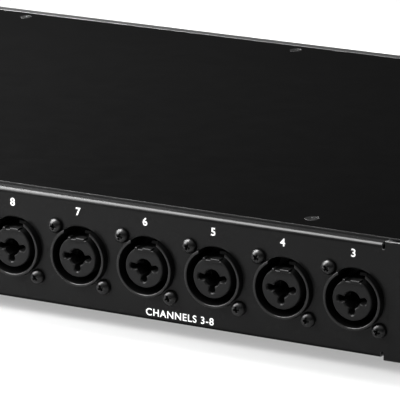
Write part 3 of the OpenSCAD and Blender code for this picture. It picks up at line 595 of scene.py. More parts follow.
def flat_screw(length, radius=2.5):
    """A countersunk screw with a cross recess."""
    profile = [(0, -length), (1.2, -length), (1.45, -length + 0.4), (1.45, -0.78), (1.8, -0.75),
               (radius, -0.08), (radius - 0.06, -0.02), (0, 0)]
    return cut(lathe(profile, 48), cross_recess(0.6, 2.7, 0.6, -0.02))


def cover_screws_piece():
    """All cover screws, top and bottom."""
    places = []
    for index, (x, y) in enumerate(cover_screw_places()):
        turn = Matrix.Rotation(0.9 * index, 4, "Y")
        places.append(Matrix.Translation((x, y, HALF_H)) @ FACE_UP @ turn)
        places.append(Matrix.Translation((x, y, -HALF_H)) @ FACE_DOWN @ turn)
    piece("cover_screw_set", flat_screw(6), "black_screw", ["cover_screws"], places, bevel=0.04)


def combo_screw_piece(name, cad_node, place, xs, length):
    """The two screws of each combo socket."""
    matrices = []
    for index, x in enumerate(xs):
        for sign in (-1, 1):
            corner = Matrix.Translation((sign * COMBO_SCREW[0], 0, sign * COMBO_SCREW[1]))
            turn = Matrix.Rotation(0.25 + 0.5 * sign + 0.2 * index, 4, "Y")
            matrices.append(place(x, COMBO_Z) @ corner @ turn)
    piece(name, spread(pan_screw(length), matrices), "black_screw", [cad_node], bevel=0.05)


# Combo sockets

RAY_COUNT = 240


def ray_to_circle(angle, x, z, r):
    """Distance from the origin to the far side of a circle along a ray, or 0."""
    along = x * cos(angle) + z * sin(angle)
    across = z * cos(angle) - x * sin(angle)
    if abs(across) >= r or along < 0:
        return 0.0
    return along + sqrt(r * r - across * across)


def ray_to_slot(angle, x, z, half):
    """Distance along a ray to the edge of a straight slot from the origin to (x, z), or 0."""
    reach = hypot(x, z)
    turn = angle - atan2(z, x)
    if cos(turn) <= 0:
        return 0.0
    side = half / max(abs(sin(turn)), 1e-9)
    return min(side, reach / cos(turn))


def insert_hole(grow=0.0):
    """Outline of the jack hole joined with its three contact holes."""
    loop = []
    for i in range(RAY_COUNT):
        a = 2 * pi * i / RAY_COUNT
        r = 3.2 + grow
        for x, z in ((4.55, 0.15), (-4.55, 0.15), (0.0, -4.3)):
            r = max(r, ray_to_circle(a, x, z, 1.25 + grow), ray_to_slot(a, x, z, 0.85 + grow))
        loop.append(polar(r, a))
    return loop


def insert_rim(shrink=0.0, teeth=True):
    """Outline of the insert: a circle with a flat top; seen from outside, +x is to the left."""
    loop = []
    flat, tooth_top = 6.75, 7.35
    for i in range(RAY_COUNT):
        a = 2 * pi * i / RAY_COUNT
        c, s = cos(a), sin(a)
        r = INSERT_R - shrink
        if s > 0 and r * s > flat - shrink:
            r = (flat - shrink) / s
            x = flat * c / s
            if teeth and (-2.7 < x < 0.6 or 2.6 < x < 4.7):
                r = (tooth_top - shrink) / s
        loop.append((r * c, r * s))
    return loop


def insert_template(wall):
    """The insert: front face with chamfered holes, teeth on the upper edge and two fine ridges."""
    front, back = COLLAR_OUT - INSERT_SINK, -wall - 24
    ledge = front - 3.0
    chamfer = 0.42
    body = stack([(back, insert_rim(0.0, False)), (ledge, insert_rim(0.0, False)), (ledge, insert_rim()),
                  (front - 0.5, insert_rim()), (front - 0.3, insert_rim(0.05)),
                  (front - 0.13, insert_rim(0.17)),
                  (front - 0.03, insert_rim(0.34)), (front, insert_rim(0.55)),
                  (front, insert_hole(chamfer)), (front - chamfer, insert_hole()), (front - 6, insert_hole()),
                  (front - 6.1, circle(0, 0, JACK_BORE_R, RAY_COUNT)),
                  (back + 3, circle(0, 0, JACK_BORE_R, RAY_COUNT))])
    floor = lathe([(JACK_BORE_R, back + 3), (0, back + 3)], RAY_COUNT)
    end = lathe([(INSERT_R, back), (0, back)], 48)
    ridges = []
    for z, half in ((6.35, 3.6), (5.55, 3.9)):
        ridges.append(block((-half, front - 0.1, z - 0.16), (half, front + 0.16, z + 0.16)))
    return merge(body, floor, end, *ridges)


def contact_wells():
    """The contact tubes, deep in their three holes."""
    wells = [lathe([(1.15, 0.7), (1.15, -6), (0.85, -6), (0.85, 0.7)], 24, closed=True) for _ in range(3)]
    for well, (x, z) in zip(wells, ((4.6, 0.0), (-4.6, 0.0), (0.0, -4.6))):
        moved(well, x, -6.5, z)
    return merge(*wells)


def housing_template(wall):
    """The moulded collar with its latch gap, the deep groove, and the box behind the panel."""
    front = COLLAR_OUT
    rim = 0.32
    floor_y = -wall - GROOVE_D
    profile = [(INSERT_R + 0.05, floor_y), (GROOVE_R, floor_y), (GROOVE_R, front - rim)]
    for i in range(1, 6):
        a = radians(18 * i)
        profile.append((GROOVE_R + rim * (1 - cos(a)), front - rim * (1 - sin(a))))
    for i in range(1, 5):
        a = radians(22.5 * i)
        profile.append((COLLAR_R - 0.22 * (1 - sin(a)), front - 0.22 * (1 - cos(a))))
    profile += [(COLLAR_R, -wall - 0.5), (COLLAR_R, floor_y - 1), (INSERT_R + 0.05, floor_y - 1)]
    collar = lathe(profile, 96, closed=True)
    gap = block((-LATCH_HALF_W, floor_y + 2, 8.3), (LATCH_HALF_W, front + 1, 12.5))
    collar = cut(collar, gap)
    collar.normal_update()
    # Painted shade: inward faces deep in the groove take the darker, duller copy of the collar's black
    # plastic.
    for face in collar.faces:
        spot = face.calc_center_median()
        inward = face.normal.x * spot.x + face.normal.z * spot.z < 0
        face.material_index = int(inward and spot.y < front - 0.4)
    hole = circle(0, 0, COLLAR_R + 0.02, 64)
    body = prism(rounded(0, 0, COMBO_W, COMBO_W, 1.2), -wall - 25, -wall, [hole])
    latch = latch_template(wall)
    return merge(collar, body, *latch)


def latch_template(wall):
    """The latch tongue in the gap and the roof behind it, both in the collar's black darkened further as
    painted shade.
    """
    tongue = prism([(-4.2, 8.5), (-1.2, 8.5), (-1.4, 9.6), (-3.9, 9.6)], -wall - 6, -1.6)
    roof = block((-5.2, -wall - 12, 10.6), (5.2, -wall - 0.3, 11.1))
    # Both take the second material, the collar's black with painted shade.
    for part in (tongue, roof):
        for face in part.faces:
            face.material_index = 1
    return [tongue, roof]


def combo_pieces(prefix, place, xs, wall, screw_length):
    """Housings, inserts, contacts and screws of a group of combo sockets."""
    matrices = [place(x, COMBO_Z) for x in xs]
    group = prefix + "_combo"
    piece(group + "_collars", housing_template(wall), ["socket_housing", "groove_black_painted_shade"],
          [group + "_housings"], matrices)
    piece(group + "_cores", insert_template(wall), "socket_insert", [group + "_inserts"], matrices)
    piece(group + "_contact_tubes", contact_wells(), "contact_gold", [group + "_contacts"], matrices)
    combo_screw_piece(group + "_screw_set", group + "_screws", place, xs, screw_length)


# Quarter-inch jacks, and the other rear connectors


def jack_template(wall, bottom):
    """Threaded bushing with a chamfered bore, and the box behind the panel."""
    profile = [(BUSHING_R, -wall), (BUSHING_R, 0.2)]
    turns = 7
    for i in range(turns):
        y = 0.3 + i * (BUSHING_OUT - 0.9) / turns
        profile += [(BUSHING_R, y), (BUSHING_R - 0.18, y + 0.22)]
    profile += [(BUSHING_R, BUSHING_OUT - 0.5), (BUSHING_R - 0.3, BUSHING_OUT),
                (JACK_BORE_R + 0.65, BUSHING_OUT),
                (JACK_BORE_R, BUSHING_OUT - 0.6), (JACK_BORE_R, -wall - 20), (0, -wall - 20)]
    body = prism([(-7, bottom), (7, bottom), (7, 7), (-7, 7)], -wall - 24, -wall, [circle(0, 0, BUSHING_R)])
    return merge(lathe(profile, 48), body)


def nut_template():
    """A six-sided nut with rounded corners on a thin washer."""
    nut = prism(circle(0, 0, NUT_R, 6), 0.5, 2.2, [circle(0, 0, BUSHING_R + 0.05)])
    washer = lathe([(BUSHING_R + 0.05, 0), (NUT_R - 0.25, 0), (NUT_R - 0.2, 0.25), (NUT_R - 0.3, 0.42),
                    (BUSHING_R + 0.05, 0.42)], 56, closed=True)
    return merge(nut, washer)


def jack_pieces(prefix, place, xs, z, wall, bottom, nodes):
    """A row of jacks with their nuts."""
    matrices = [place(x, z) for x in xs]
    piece(prefix + "_jack_bodies", jack_template(wall, bottom), "socket_housing", [nodes[0]], matrices,
          bevel=0.06)
    nuts = spread(nut_template(), [m @ Matrix.Rotation(0.3 * i, 4, "Y") for i, m in enumerate(matrices)])
    piece(prefix + "_jack_nuts", nuts, "black_nut", [nodes[1]], bevel=0.22, segments=3)


def bnc_pieces():
    """Two bayonet sockets: nickel shell with lugs, nut, white insulator and centre contact."""
    shell = lathe([(6, -3), (6, 1.9), (5.6, 2.2), (5.2, 2.4), (5.2, 3.4), (4.8, 3.7), (4.8, 9.4), (5.1, 9.8),
                   (5.1, 10.6), (4.7, 11), (4.25, 11), (4.1, 10.7), (4.1, -10)], 64)
    nut = prism(circle(0, 0, 7.6, 6), 0.4, 2.2, [circle(0, 0, 6.02)])
    washer = lathe([(6.02, 0), (7.4, 0), (7.4, 0.35), (6.02, 0.35)], 48, closed=True)
    lugs = []
    for side in (0, 180):
        lug = lathe([(0, 0), (1.0, 0), (1.0, 1.2), (0.8, 1.4), (0, 1.4)], 24)
        turned = Matrix.Rotation(radians(side), 4, "Y") @ Matrix.Translation((4.4, 7.6, 0))
        lugs.append(placed(lug, turned @ Matrix.Rotation(-pi / 2, 4, "Z")))
    base = block((-7, -15.2, -7), (7, -1.25, 7))
    matrices = [at_rear(BNC_X, z) for z in BNC_Z]
    piece("word_clock_sockets", merge(shell, nut, washer, base, *lugs), "nickel", ["word_clock_shells"],
          matrices, bevel=0.12)
    insulator = lathe([(4.05, -9), (4.05, -5), (2.1, -5), (2.1, 5.6), (1.8, 6), (1.0, 6), (0.75, 5.7),
                       (0.75, -3)], 40)
    piece("word_clock_cores", insulator, "white_insulator", ["word_clock_insulators"], matrices)
    contact = lathe([(0.72, -4), (0.72, 5.2), (0.45, 5.5), (0.3, 5.2), (0.3, 1), (0, 1)], 24)
    piece("word_clock_centre_contacts", contact, "contact_gold", places=matrices)


def rca_pieces():
    """Two coaxial sockets in one moulded block."""
    parts = [moved(block((-6.5, -12.2, -16), (6.5, -1.3, 15)), RCA_X, REAR_Y, 0)]
    flange = lathe([(4.2, -2), (5, -2), (5, 1.3), (4.8, 1.6), (4.25, 1.6)], 56)
    core = lathe([(3.25, -5), (3.25, 8), (3.0, 8.2), (1.95, 8.2), (1.7, 7.9), (1.7, -5)], 48)
    matrices = [at_rear(RCA_X, z) for z in RCA_Z]
    parts += [spread(flange, matrices), spread(core, matrices)]
    piece("coaxial_block", merge(*parts), "socket_housing", ["coaxial_housing"], bevel=0.1)
    shell = lathe([(4.15, -4), (4.15, 2.2), (4.35, 2.5), (4.15, 2.8), (4.15, 8.6), (3.9, 9), (3.5, 9),
                   (3.3, 8.7), (3.3, -4)], 56)
    piece("coaxial_rings", shell, "contact_gold", ["coaxial_shells"], matrices)
    contact = lathe([(1.69, -3), (1.69, 7.0), (1.45, 7.3), (1.3, 7.0), (1.3, -3)], 32)
    piece("coaxial_centre_contacts", contact, "nickel", places=matrices)


def optical_pieces():
    """Two optical sockets: square frames with a lip, and shutters hinged at the top."""
    outer = rounded(0, 0, 10, 10, 0.5, 3)
    inner = rounded(0, 0, 6.4, 6.4, 0.3, 3)
    lip = rounded(0, 0, 7.4, 7.4, 0.4, 3)
    frame_part = stack([(-9, inner), (0.9, inner), (1.4, lip), (1.4, outer), (-12, outer)])
    body = prism(rounded(0, 0, 14, 14, 0.6, 3), -13, -1.35, [rounded(0, 0, 9.9, 9.9, 0.5, 3)])
    emitter = lathe([(0, -8.9), (2.2, -8.9), (2.2, -7.2), (1.4, -6.6), (0, -6.6)], 32)
    back = block((-3.2, -9.2, -3.2), (3.2, -8.9, 3.2))
    piece("optical_sockets", merge(frame_part, body, emitter, back), "socket_housing",
          ["optical_housings"], [at_rear(OPTICAL_X, z) for z in OPTICAL_Z], bevel=0.08)
    for node, z in zip(("optical_door_in", "optical_door_out"), OPTICAL_Z):
        door = prism(rounded(0, -0.2, 6.0, 5.6, 0.35, 3), -1.2, -0.4)
        frame_line = prism(rounded(0, -0.4, 4.4, 3.8, 0.3, 3), -0.45, -0.28,
                           [rounded(0, -0.4, 3.8, 3.2, 0.3, 3)])
        pin = lathe([(0, -3.05), (0.42, -3.05), (0.42, 3.05), (0, 3.05)], 24)
        turned = Matrix.Translation((0, -0.8, 2.6)) @ Matrix.Rotation(pi / 2, 4, "Z")
        placed(pin, turned)
        piece(node + "_shutter", merge(door, frame_line, pin), "shutter_grey", [node],
              [at_rear(OPTICAL_X, z)], body=node, bevel=0.06)


def usb_pieces():
    """A square data socket: bent steel shell with cut upper corners, and its tongue."""
    def opening(shrink):
        x, z, c = 6 - shrink, 5.5 - shrink, 2.3
        return [(-x, -z), (x, -z), (x, z - c), (x - c, z), (-x + c, z), (-x, z - c)]
    outer = [(-6, -5.5), (6, -5.5), (6, 5.0), (5.5, 5.5), (-5.5, 5.5), (-6, 5.0)]
    shell = stack([(-16.5, outer), (0.55, outer), (0.8, [(x * 0.975, z * 0.975) for x, z in outer]),
                   (0.8, opening(0.55)), (0.4, opening(0.8)), (-15, opening(0.8))])
    end = prism(outer, -17, -16.4)
    piece("usb_socket_shell", merge(shell, end), "nickel", ["usb_shell"], [at_rear(USB_X, JACK_Z)],
          bevel=0.06)
    tongue = prism(rounded(0, -0.2, 5.6, 3.2, 0.4, 3), -15, -0.7)
    contacts = [block((x - 0.5, -9, s * 1.55 - 0.2 - 0.06), (x + 0.5, -1.2, s * 1.55 - 0.2 + 0.06))
                for x in (-1.4, 1.4) for s in (-1, 1)]
    piece("usb_socket_tongue", tongue, "usb_plastic", ["usb_tongue"], [at_rear(USB_X, JACK_Z)], bevel=0.2)
    piece("usb_socket_contacts", merge(*contacts), "contact_gold", places=[at_rear(USB_X, JACK_Z)],
          bevel=0.02)


def mains_pieces():
    """Mains inlet with three blades, and the switch with its rocker."""
    def opening(w, h, c):
        return [(-w, -h), (w, -h), (w, h - c), (w - c, h), (-w + c, h), (-w, h - c)]
    body = stack([(-16.5, opening(11.9, 7.9, 5)), (1.5, opening(11.9, 7.9, 5)), (2, opening(12.4, 8.4, 5.2))])
    flange = prism(rounded(0, 0, 30.6, 23, 2.2), 0, 2, [opening(12.4, 8.4, 5.2)])
    walls = prism(rounded(0, 0, 27, 19.8, 0.8, 3), -20, 0, [opening(12.4, 8.4, 5.2)])
    end = block((-13, -20, -9.4), (13, -16.4, 9.4))
    piece("mains_inlet_body", merge(body, flange, walls, end), "socket_housing", ["mains_inlet_housing"],
          [at_rear(INLET_X, 0)], bevel=0.35, segments=3)
    pins = [prism(rounded(x, z, 2, 4, 0.25, 3), -16.5, -2) for x, z in ((-7, -1.5), (0, 2.5), (7, -1.5))]
    piece("mains_inlet_blades", merge(*pins), "nickel", ["mains_inlet_pins"], [at_rear(INLET_X, 0)],
          bevel=0.35, segments=3)

    hole = rounded(0, 0, 11, 17.2, 0.5, 3)
    rim = prism(rounded(0, 0, 15, 21.5, 1.3), 0, 1.8, [hole])
    frame_walls = prism(rounded(0, 0, 13, 19.4, 0.6, 3), -18, 0, [hole])
    back = block((-5.6, -18, -8.8), (5.6, -15.5, 8.8))
    piece("mains_switch_body", merge(rim, frame_walls, back), "socket_housing", ["mains_switch_frame"],
          [at_rear(SWITCH_X, 0)], bevel=0.3, segments=3)
    rocker_piece()


def rocker_piece():
    """The rocker: a dished face between two round ends, with a line and a ring as its marks."""
    axis_y, tilt, half_w = -4, radians(8), 5.3
    side = []
    for i in range(13):
        a = radians(-22 + 44 * i / 12)
        side.append((16.6 - 11 * cos(a), 11 * sin(a) * 1.75))
    low_edge = [polar(8.15, radians(90 - a)) for a in (35, 15, -5, -20)]
    outline = side + low_edge + [(y, -z) for y, z in reversed(low_edge)]
    bm = prism([(z, y) for y, z in outline], -half_w, half_w)
    swap = Matrix(((0, 1, 0, 0), (0, 0, 1, 0), (1, 0, 0, 0), (0, 0, 0, 1)))
    outward(placed(bm, swap))
    place = at_rear(SWITCH_X, 0) @ Matrix.Translation((0, axis_y, 0)) @ Matrix.Rotation(tilt, 4, "X")
    piece("mains_rocker", bm, "black_nut", ["mains_switch_rocker"], [place],
          body="mains_switch_rocker", bevel=0.3, segments=3)
    line = prism(rounded(0, 0, 0.5, 3.0, 0.2, 3), 0, 0.12)
    ring = lathe([(1.1, 0), (1.6, 0), (1.6, 0.12), (1.1, 0.12)], 32, closed=True)
    marks = merge()
    for mark, z in ((line, 4.6), (ring, -4.6)):
        lean = asin(z / 1.75 / 11)
        y = 16.6 - 11 * cos(lean)
        turned = Matrix.Rotation(-atan(tan(lean) / 1.75), 4, "X")
        add(marks, mark, Matrix.Translation((0, y - 0.02, z)) @ turned)
    piece("mains_rocker_marks", marks, "white_print", places=[place], body="mains_switch_rocker")


# Front panel and its controls

WINDOW_LOW, WINDOW_HIGH = box_mm("meter_window")
WINDOW = WINDOW_HIGH - WINDOW_LOW
WINDOW_X, _, WINDOW_Z = middle("meter_window")


def front_panel_piece():
    """The thick front panel: rack slots, round and square openings, and the window's recess."""
    w = PANEL_HIGH.x - PANEL_LOW.x
    holes = [circle(x, COMBO_Z, COMBO_HOLE_R, 72) for x in FRONT_COMBO_X]
    holes += [circle(x, 0, BUSHING_R + 0.2, 40) for x in PHONES_X]
    holes += [circle(middle(node).x, 0, 3.8, 32) for node in KNOBS]
    for node in BUTTONS:
        spot = middle(node)
        holes.append(rounded(spot.x, spot.z, 7.3, 7.3, 0.4, 3))
    power = middle("power_button")
    holes.append(circle(power.x, power.z, 4.15, 40))
    slots = [(sx * 232.55, sz * 15.875) for sx in (-1, 1) for sz in (-1, 1)]
    holes += [rounded(x, z, 10.4, 6.8, 3.39, 8) for x, z in slots]
    holes.append(rounded(WINDOW_X, WINDOW_Z, WINDOW.x + 0.2, WINDOW.z + 0.2, 0.6, 3))
    bm = prism(rounded(0, 0, w, 2 * HALF_H, 1.5), FRONT_Y, 0, holes)
    piece("front_panel_plate", bm, "front_anodised", ["front_panel"], bevel=0.35, segments=3)


def window_pieces():
    """Smoked window, the black mask behind it and the light bars of the meters."""
    pane = prism(rounded(WINDOW_X, WINDOW_Z, WINDOW.x, WINDOW.z, 0.5, 3), WINDOW_LOW.y, WINDOW_HIGH.y)
    piece("meter_pane", pane, "smoked_window", ["meter_window"], bevel=0.15)
    low, high = box_mm("meter_leds")
    columns, rows = 10, 8
    led_w, led_h = 5.6, 2.0
    xs = [low.x + led_w / 2 + (high.x - low.x - led_w) * i / (columns - 1) for i in range(columns)]
    zs = [low.z + led_h / 2 + (high.z - low.z - led_h) * j / (rows - 1) for j in range(rows)]
    bars = bmesh.new()
    openings = []
    for i, x in enumerate(xs):
        for j, z in enumerate(zs):
            bar = prism(rounded(x, z, led_w, led_h, 0.35, 3), low.y, low.y + 5)
            shade = 0 if j < 5 else 1 if j < 7 else 2
            for face in bar.faces:
                face.material_index = shade
            add(bars, bar, Matrix.Identity(4))
            openings.append(rounded(x, z, led_w + 0.3, led_h + 0.3, 0.4, 3))
    piece("meter_light_bars", bars, ["led_green", "led_yellow", "led_red"], ["meter_leds"], bevel=0.12)
    edge = rounded(WINDOW_X, WINDOW_Z, WINDOW.x - 6, WINDOW.z - 4.2, 0.5, 3)
    mask = prism(edge, low.y + 0.15, low.y + 0.9, openings)
    piece("meter_mask", mask, "window_black")


def knob_template(diameter, height):
    """A turned knob: grip flutes, a crowned front and a collar at its base."""
    r = diameter / 2
    flutes = max(18, int(diameter * 1.6))
    count = flutes * 8

    def ring(radius, depth):
        loop = []
        for i in range(count):
            a = 2 * pi * i / count
            wave = 0.5 + 0.5 * cos(a * flutes)
            loop.append(polar(radius - depth * wave ** 2, a))
        return loop

    layers = [(0.7, r * 0.6, 0), (0.7, r - 0.35, 0), (1.0, r, 0), (2.4, r, 0), (2.9, r - 0.5, 0),
              (3.4, r - 0.5, 0.35), (height - 2.2, r - 0.7, 0.35), (height - 1.2, r - 0.9, 0),
              (height - 0.45, r - 1.25, 0), (height - 0.1, r - 1.9, 0), (height, r - 2.6, 0),
              (height - 0.12, r * 0.5, 0), (height - 0.22, 0.3, 0)]
    body = stack([(y, ring(radius, depth)) for y, radius, depth in layers])
    cap = lathe([(0.3, height - 0.22), (0, height - 0.22)], count)
    shaft = lathe([(3, -12), (3, height - 3)], 40)
    return merge(body, cap, shaft)


def knob_pieces():
    """Every knob with its white pointer."""
    for node, (diameter, height) in KNOBS.items():
        spot = middle(node)
        place = at_front(spot.x, spot.z)
        piece(node + "_cap", knob_template(diameter, height), "knob_black", [node], [place], body=node,
              sharp=50)
        r = diameter / 2
        pointer = prism(rounded(0, r * 0.68, 0.9, r * 0.42, 0.4, 4), height - 0.5, height + 0.02)
        piece(node + "_pointer", pointer, "white_print", places=[place], body=node)


def button_pieces():
    """Square buttons, each with a raised rim, a dished face and a small light."""
    for index, node in enumerate(BUTTONS):
        spot = middle(node)
        face_y = FRONT_Y - box_mm(node)[0].y
        loops = [(-5, 6.9), (face_y - 0.5, 6.9), (face_y - 0.12, 6.6), (face_y, 6.1), (face_y, 5.6),
                 (face_y - 0.25, 4.9), (face_y - 0.3, 2.0)]
        cap = stack([(y, rounded(0, 0, w, w, 0.5, 4)) for y, w in loops])
        centre = prism(rounded(0, 0, 2.0, 2.0, 0.5, 4), face_y - 0.6, face_y - 0.3)
        skirt = prism(rounded(0, 0, 8.4, 8.4, 0.6, 3), -7.6, -6.6)
        plunger = lathe([(1.5, -7), (1.5, -15), (0, -15)], 24)
        place = at_front(spot.x, spot.z)
        piece(node + "_cap", merge(cap, centre, skirt, plunger), "button_grey", [node], [place], body=node,
              bevel=0.05)
        light = prism(rounded(0, 1.9, 2.6, 0.8, 0.3, 3), face_y - 0.5, face_y - 0.18)
        colour = ("led_red", "led_yellow", "led_white", "led_white", "led_yellow", "led_red")[index]
        piece(node + "_light", light, colour, places=[place], body=node, bevel=0.08)


def power_button_piece():
    """The round power button, dished, with the usual ring-and-line mark."""
    spot = middle("power_button")
    face_y = FRONT_Y - box_mm("power_button")[0].y
    cap = lathe([(0, -12), (1.5, -12), (1.5, -7.5), (5, -7.5), (5, -6.6), (4, -6.6), (4, face_y - 0.5),
                 (3.6, face_y - 0.1), (3.1, face_y), (1.5, face_y - 0.22), (0, face_y - 0.28)], 48)
    place = at_front(spot.x, spot.z)
    piece("power_button_cap", cap, "button_grey", ["power_button"], [place],
          body="power_button", bevel=0.05)
    angles = [radians(125 + 290 * i / 24) for i in range(25)]
    arc = [polar(1.5, a) for a in angles] + [polar(1.2, a) for a in reversed(angles)]
    mark = merge(prism(arc, face_y - 0.32, face_y - 0.17),
                 prism(rounded(0, 1.1, 0.32, 1.5, 0.12, 3), face_y - 0.32, face_y - 0.15))
    piece("power_button_mark", mark, "led_green", places=[place], body="power_button")


# Printed marks


def text_mesh(text, height, bold=0.0, spacing=1.0):
    """Lettering as a thin solid, centred, facing +Y and reading from +Y; height is the capitals' height."""
    curve = setup(bpy.data.curves.new("lettering", "FONT"), body=text, align_x="CENTER", align_y="CENTER",
                  size=height / 0.73, offset=bold, extrude=0.02, space_character=spacing, resolution_u=6)
    obj = put("lettering", curve)
    mesh = bpy.data.meshes.new_from_object(obj.evaluated_get(bpy.context.evaluated_depsgraph_get()))
    bm = bmesh.new()
    bm.from_mesh(mesh)
    bpy.data.curves.remove(curve)
    bpy.data.meshes.remove(mesh)
    xs = [v.co.x for v in bm.verts]
    ys = [v.co.y for v in bm.verts]
    shift = Matrix.Translation((-(min(xs) + max(xs)) / 2, -(min(ys) + max(ys)) / 2, 0))
    face = Matrix(((-1, 0, 0, 0), (0, 0, 1, 0), (0, 1, 0, 0), (0, 0, 0, 1)))
    return placed(bm, face @ shift)


def rear_print():
    """Channel numbers over the sockets and jacks, and the group's label."""
    marks = bmesh.new()
    for index, x in enumerate(COMBO_X):
        add(marks, text_mesh(str(index + 3), 3.0, 0.07), at_rear(x + 0.55, 16.1))
    label_x = (COMBO_X[0] + COMBO_X[-1]) / 2 + 0.3
    add(marks, text_mesh("CHANNELS 3-8", 2.78, 0.05, 1.12), at_rear(label_x, -18.0))
    for index, x in enumerate(JACK_X):
        add(marks, text_mesh(str(index + 1), 2.4, 0.08), at_rear(x, 8.5))
    span = JACK_X[-1] - JACK_X[0]
    line_x = (JACK_X[0] + JACK_X[-1]) / 2
    add(marks, prism(rounded(0, 0, span + 12, 0.35, 0.15, 3), -0.02, 0.02), at_rear(line_x, 14.0))
    piece("rear_printing", marks, "white_print")


def dial_marks(x, radius, count=11):
    """Ticks round a knob, long at both ends and in the middle."""
    marks = bmesh.new()
    for i in range(count):
        a = radians(-150 + 300 * i / (count - 1))
        size = 2.2 if i in (0, (count - 1) // 2, count - 1) else 1.4
        tick = prism(rounded(0, radius + size / 2, 0.45, size, 0.2, 3), -0.02, 0.02)
        add(marks, tick, at_front(x, 0) @ Matrix.Rotation(a, 4, "Y"))
    return marks


def front_print():
    """Numbers over the front sockets, and dial ticks."""
    marks = bmesh.new()
    for index, x in enumerate(FRONT_COMBO_X):
        add(marks, text_mesh(str(index + 1), 2.6, 0.09), at_front(x, 17.3))
    for node, (diameter, _) in KNOBS.items():
        add(marks, dial_marks(middle(node).x, diameter / 2 + 1.4), Matrix.Identity(4))
    piece("front_printing", marks, "white_print")


# Feet and the parts inside


def feet_piece():
    """Rubber feet: a stepped, slightly tapered disc with a hollow and a rounded rim."""
    low, high = box_mm("rubber_feet")
    h = high.z - low.z
    profile = [(8, 0), (8, 0.8), (7.85, 1.2), (7.75, h - 0.9), (7.5, h - 0.3), (7.0, h), (5.0, h),
               (4.7, h - 0.5), (2.6, h - 0.5), (2.2, h - 0.8), (2.2, h - 2.4), (0, h - 2.4)]
    places = [Matrix.Translation((x, y, high.z)) @ FACE_DOWN for x in (-185, 185) for y in (30, 214)]
    piece("rubber_foot_set", lathe(profile, 56), "foot_rubber", ["rubber_feet"], places)


def dress_internal_nodes():
    """CAD nodes that stay as they are get a small round on their edges and their record's material."""
    slots = {row["node"]: row["material_slot"] for row in frame["record"]["subparts"]}
    for name, obj in frame["nodes"].items():
        if obj.hide_render:
            continue
        obj.data.materials.clear()
        obj.data.materials.append(MATERIALS[slots[name]])
        setup(obj.modifiers.new("weld", "WELD"), merge_threshold=0.01 * MM)
        round_edges(obj, 0.08, 50, 1)


# Studio

FLOOR_HALF = 12
FLOOR_TONE, FLOOR_GLOW = 0.27, 0.40
CAMERA_TARGET = Vector((-138.3, REAR_Y, 27.3)) * MM
CAMERA_AZIMUTH, CAMERA_ELEVATION = radians(207.74), radians(16.1)
CAMERA_DISTANCE, CAMERA_LENS = 1.3093, 327.8
ROOM_TONES = ((0.35, 0.02), (0.9, 1.2))  # (height of the direction, brightness)
# name: place, target, direction of the long side, width, length, power, lights matt surfaces, spread
SOFTBOXES = {
    "overhead": (CAMERA_TARGET + Vector((0.447, 0.14, 0.885)), CAMERA_TARGET, (0, -0.988, 0.156),
                 0.5, 0.85, 62, False, 180),
    "side": ((0.25, 0.45, 0.25), CAMERA_TARGET, (0, 0, 1), 0.3, 0.3, 7, True, 180),
    "cover_fill": ((0.32, 0.08, 0.30), (0.02, 0.1, 0.03), (0, 1, 0), 0.25, 0.25, 9, True, 100),
}


def look_at(obj, place, target):
    """Puts obj at place, looking at target."""
    obj.location = place
    obj.rotation_euler = (Vector(target) - Vector(place)).to_track_quat("-Z", "Y").to_euler()


def softbox(name, place, target, along, width, length, power, diffuse, spread_angle):
    """A rectangular soft light whose long side runs along a direction."""
    data = setup(bpy.data.lights.new(name, "AREA"), shape="RECTANGLE", size=width, size_y=length,
                 energy=power, spread=radians(spread_angle))
    light = setup(put(name, data), visible_camera=False, visible_diffuse=diffuse)
    back = (Vector(place) - Vector(target)).normalized()
    side = Vector(along).cross(back).normalized()
    turn = Matrix((side, back.cross(side), back)).transposed().to_4x4()
    light.matrix_world = Matrix.Translation(place) @ turn


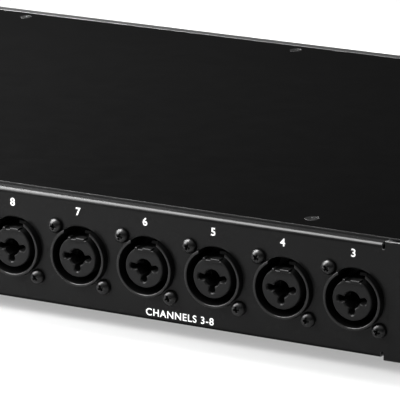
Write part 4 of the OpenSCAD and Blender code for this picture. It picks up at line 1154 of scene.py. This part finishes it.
def studio():
    """Pale floor, white surroundings, soft lights and a camera at the rear right."""
    scene = bpy.context.scene
    scene.view_settings.view_transform = "Standard"
    mesh = bpy.data.meshes.new("floor")
    signs = ((-1, -1), (1, -1), (1, 1), (-1, 1))
    corners = [(x * FLOOR_HALF, y * FLOOR_HALF, FLOOR_Z * MM) for x, y in signs]
    mesh.from_pydata(corners, [], [(0, 1, 2, 3)])
    white = setup(bpy.data.materials.new("floor_white"), use_nodes=True)
    feed(white.node_tree, white.node_tree.nodes["Principled BSDF"], {
        "Base Color": (FLOOR_TONE, FLOOR_TONE, FLOOR_TONE, 1), "Roughness": 0.9, "Specular IOR Level": 0.0,
        "Emission Color": (1, 1, 1, 1), "Emission Strength": FLOOR_GLOW})
    mesh.materials.append(white)
    put("floor", mesh)

    back = Vector((sin(CAMERA_AZIMUTH) * cos(CAMERA_ELEVATION),
                   -cos(CAMERA_AZIMUTH) * cos(CAMERA_ELEVATION), sin(CAMERA_ELEVATION)))
    camera = put("camera", setup(bpy.data.cameras.new("camera"), lens=CAMERA_LENS, clip_end=60))
    look_at(camera, CAMERA_TARGET + back * CAMERA_DISTANCE, CAMERA_TARGET)
    scene.camera = camera

    for name, settings in SOFTBOXES.items():
        softbox(name, *settings)
    sky = put("sky", setup(bpy.data.lights.new("sky", "SUN"), energy=0.95, angle=radians(100)))
    look_at(sky, (0.3, 0.1, 1.6), (0, 0, 0))
    surroundings(scene)


def surroundings(scene):
    """White to the camera; a softer, darker room in reflections and as fill light."""
    scene.world = setup(bpy.data.worlds.new("studio"), use_nodes=True)
    tree = scene.world.node_tree
    tree.nodes.clear()
    height = wire(tree, "SeparateXYZ", {"Vector": wire(tree, "TexCoord").outputs["Generated"]})
    ramp = wire(tree, "ValToRGB", {"Fac": height.outputs["Z"]})
    for element, (position, tone) in zip(ramp.color_ramp.elements, ROOM_TONES):
        setup(element, position=position, color=(tone, tone, tone, 1))
    room = wire(tree, "Background", {"Color": ramp.outputs["Color"]})
    seen = wire(tree, "Background", {"Color": (1, 1, 1, 1)})
    mix = wire(tree, "MixShader", {"Fac": wire(tree, "LightPath").outputs["Is Camera Ray"],
                                   1: room.outputs["Background"], 2: seen.outputs["Background"]})
    wire(tree, "OutputWorld", {"Surface": mix.outputs["Shader"]})


# Build

chassis_piece()
cover_piece("top_cover")
cover_piece("bottom_cover")
cover_screws_piece()
combo_pieces("rear", at_rear, COMBO_X, SHEET_T, 10)
combo_pieces("front", at_front, FRONT_COMBO_X, SHEET_T - FRONT_Y, 14)
jack_pieces("line_output", at_rear, JACK_X, JACK_Z, SHEET_T, -11, ("line_output_jacks", "line_output_nuts"))
jack_pieces("phones", at_front, PHONES_X, 0, SHEET_T - FRONT_Y, -7, ("phones_jacks", "phones_nuts"))
bnc_pieces()
rca_pieces()
optical_pieces()
usb_pieces()
mains_pieces()
front_panel_piece()
window_pieces()
knob_pieces()
button_pieces()
power_button_piece()
CORNERS = [at_front(sx * 217, sz * 17, 20 * sx) for sx in (-1, 1) for sz in (-1, 1)]
piece("front_panel_screw_set", pan_screw(9), "black_screw", ["front_panel_screws"], CORNERS, bevel=0.05)
rear_print()
front_print()
feet_piece()
dress_internal_nodes()
studio()
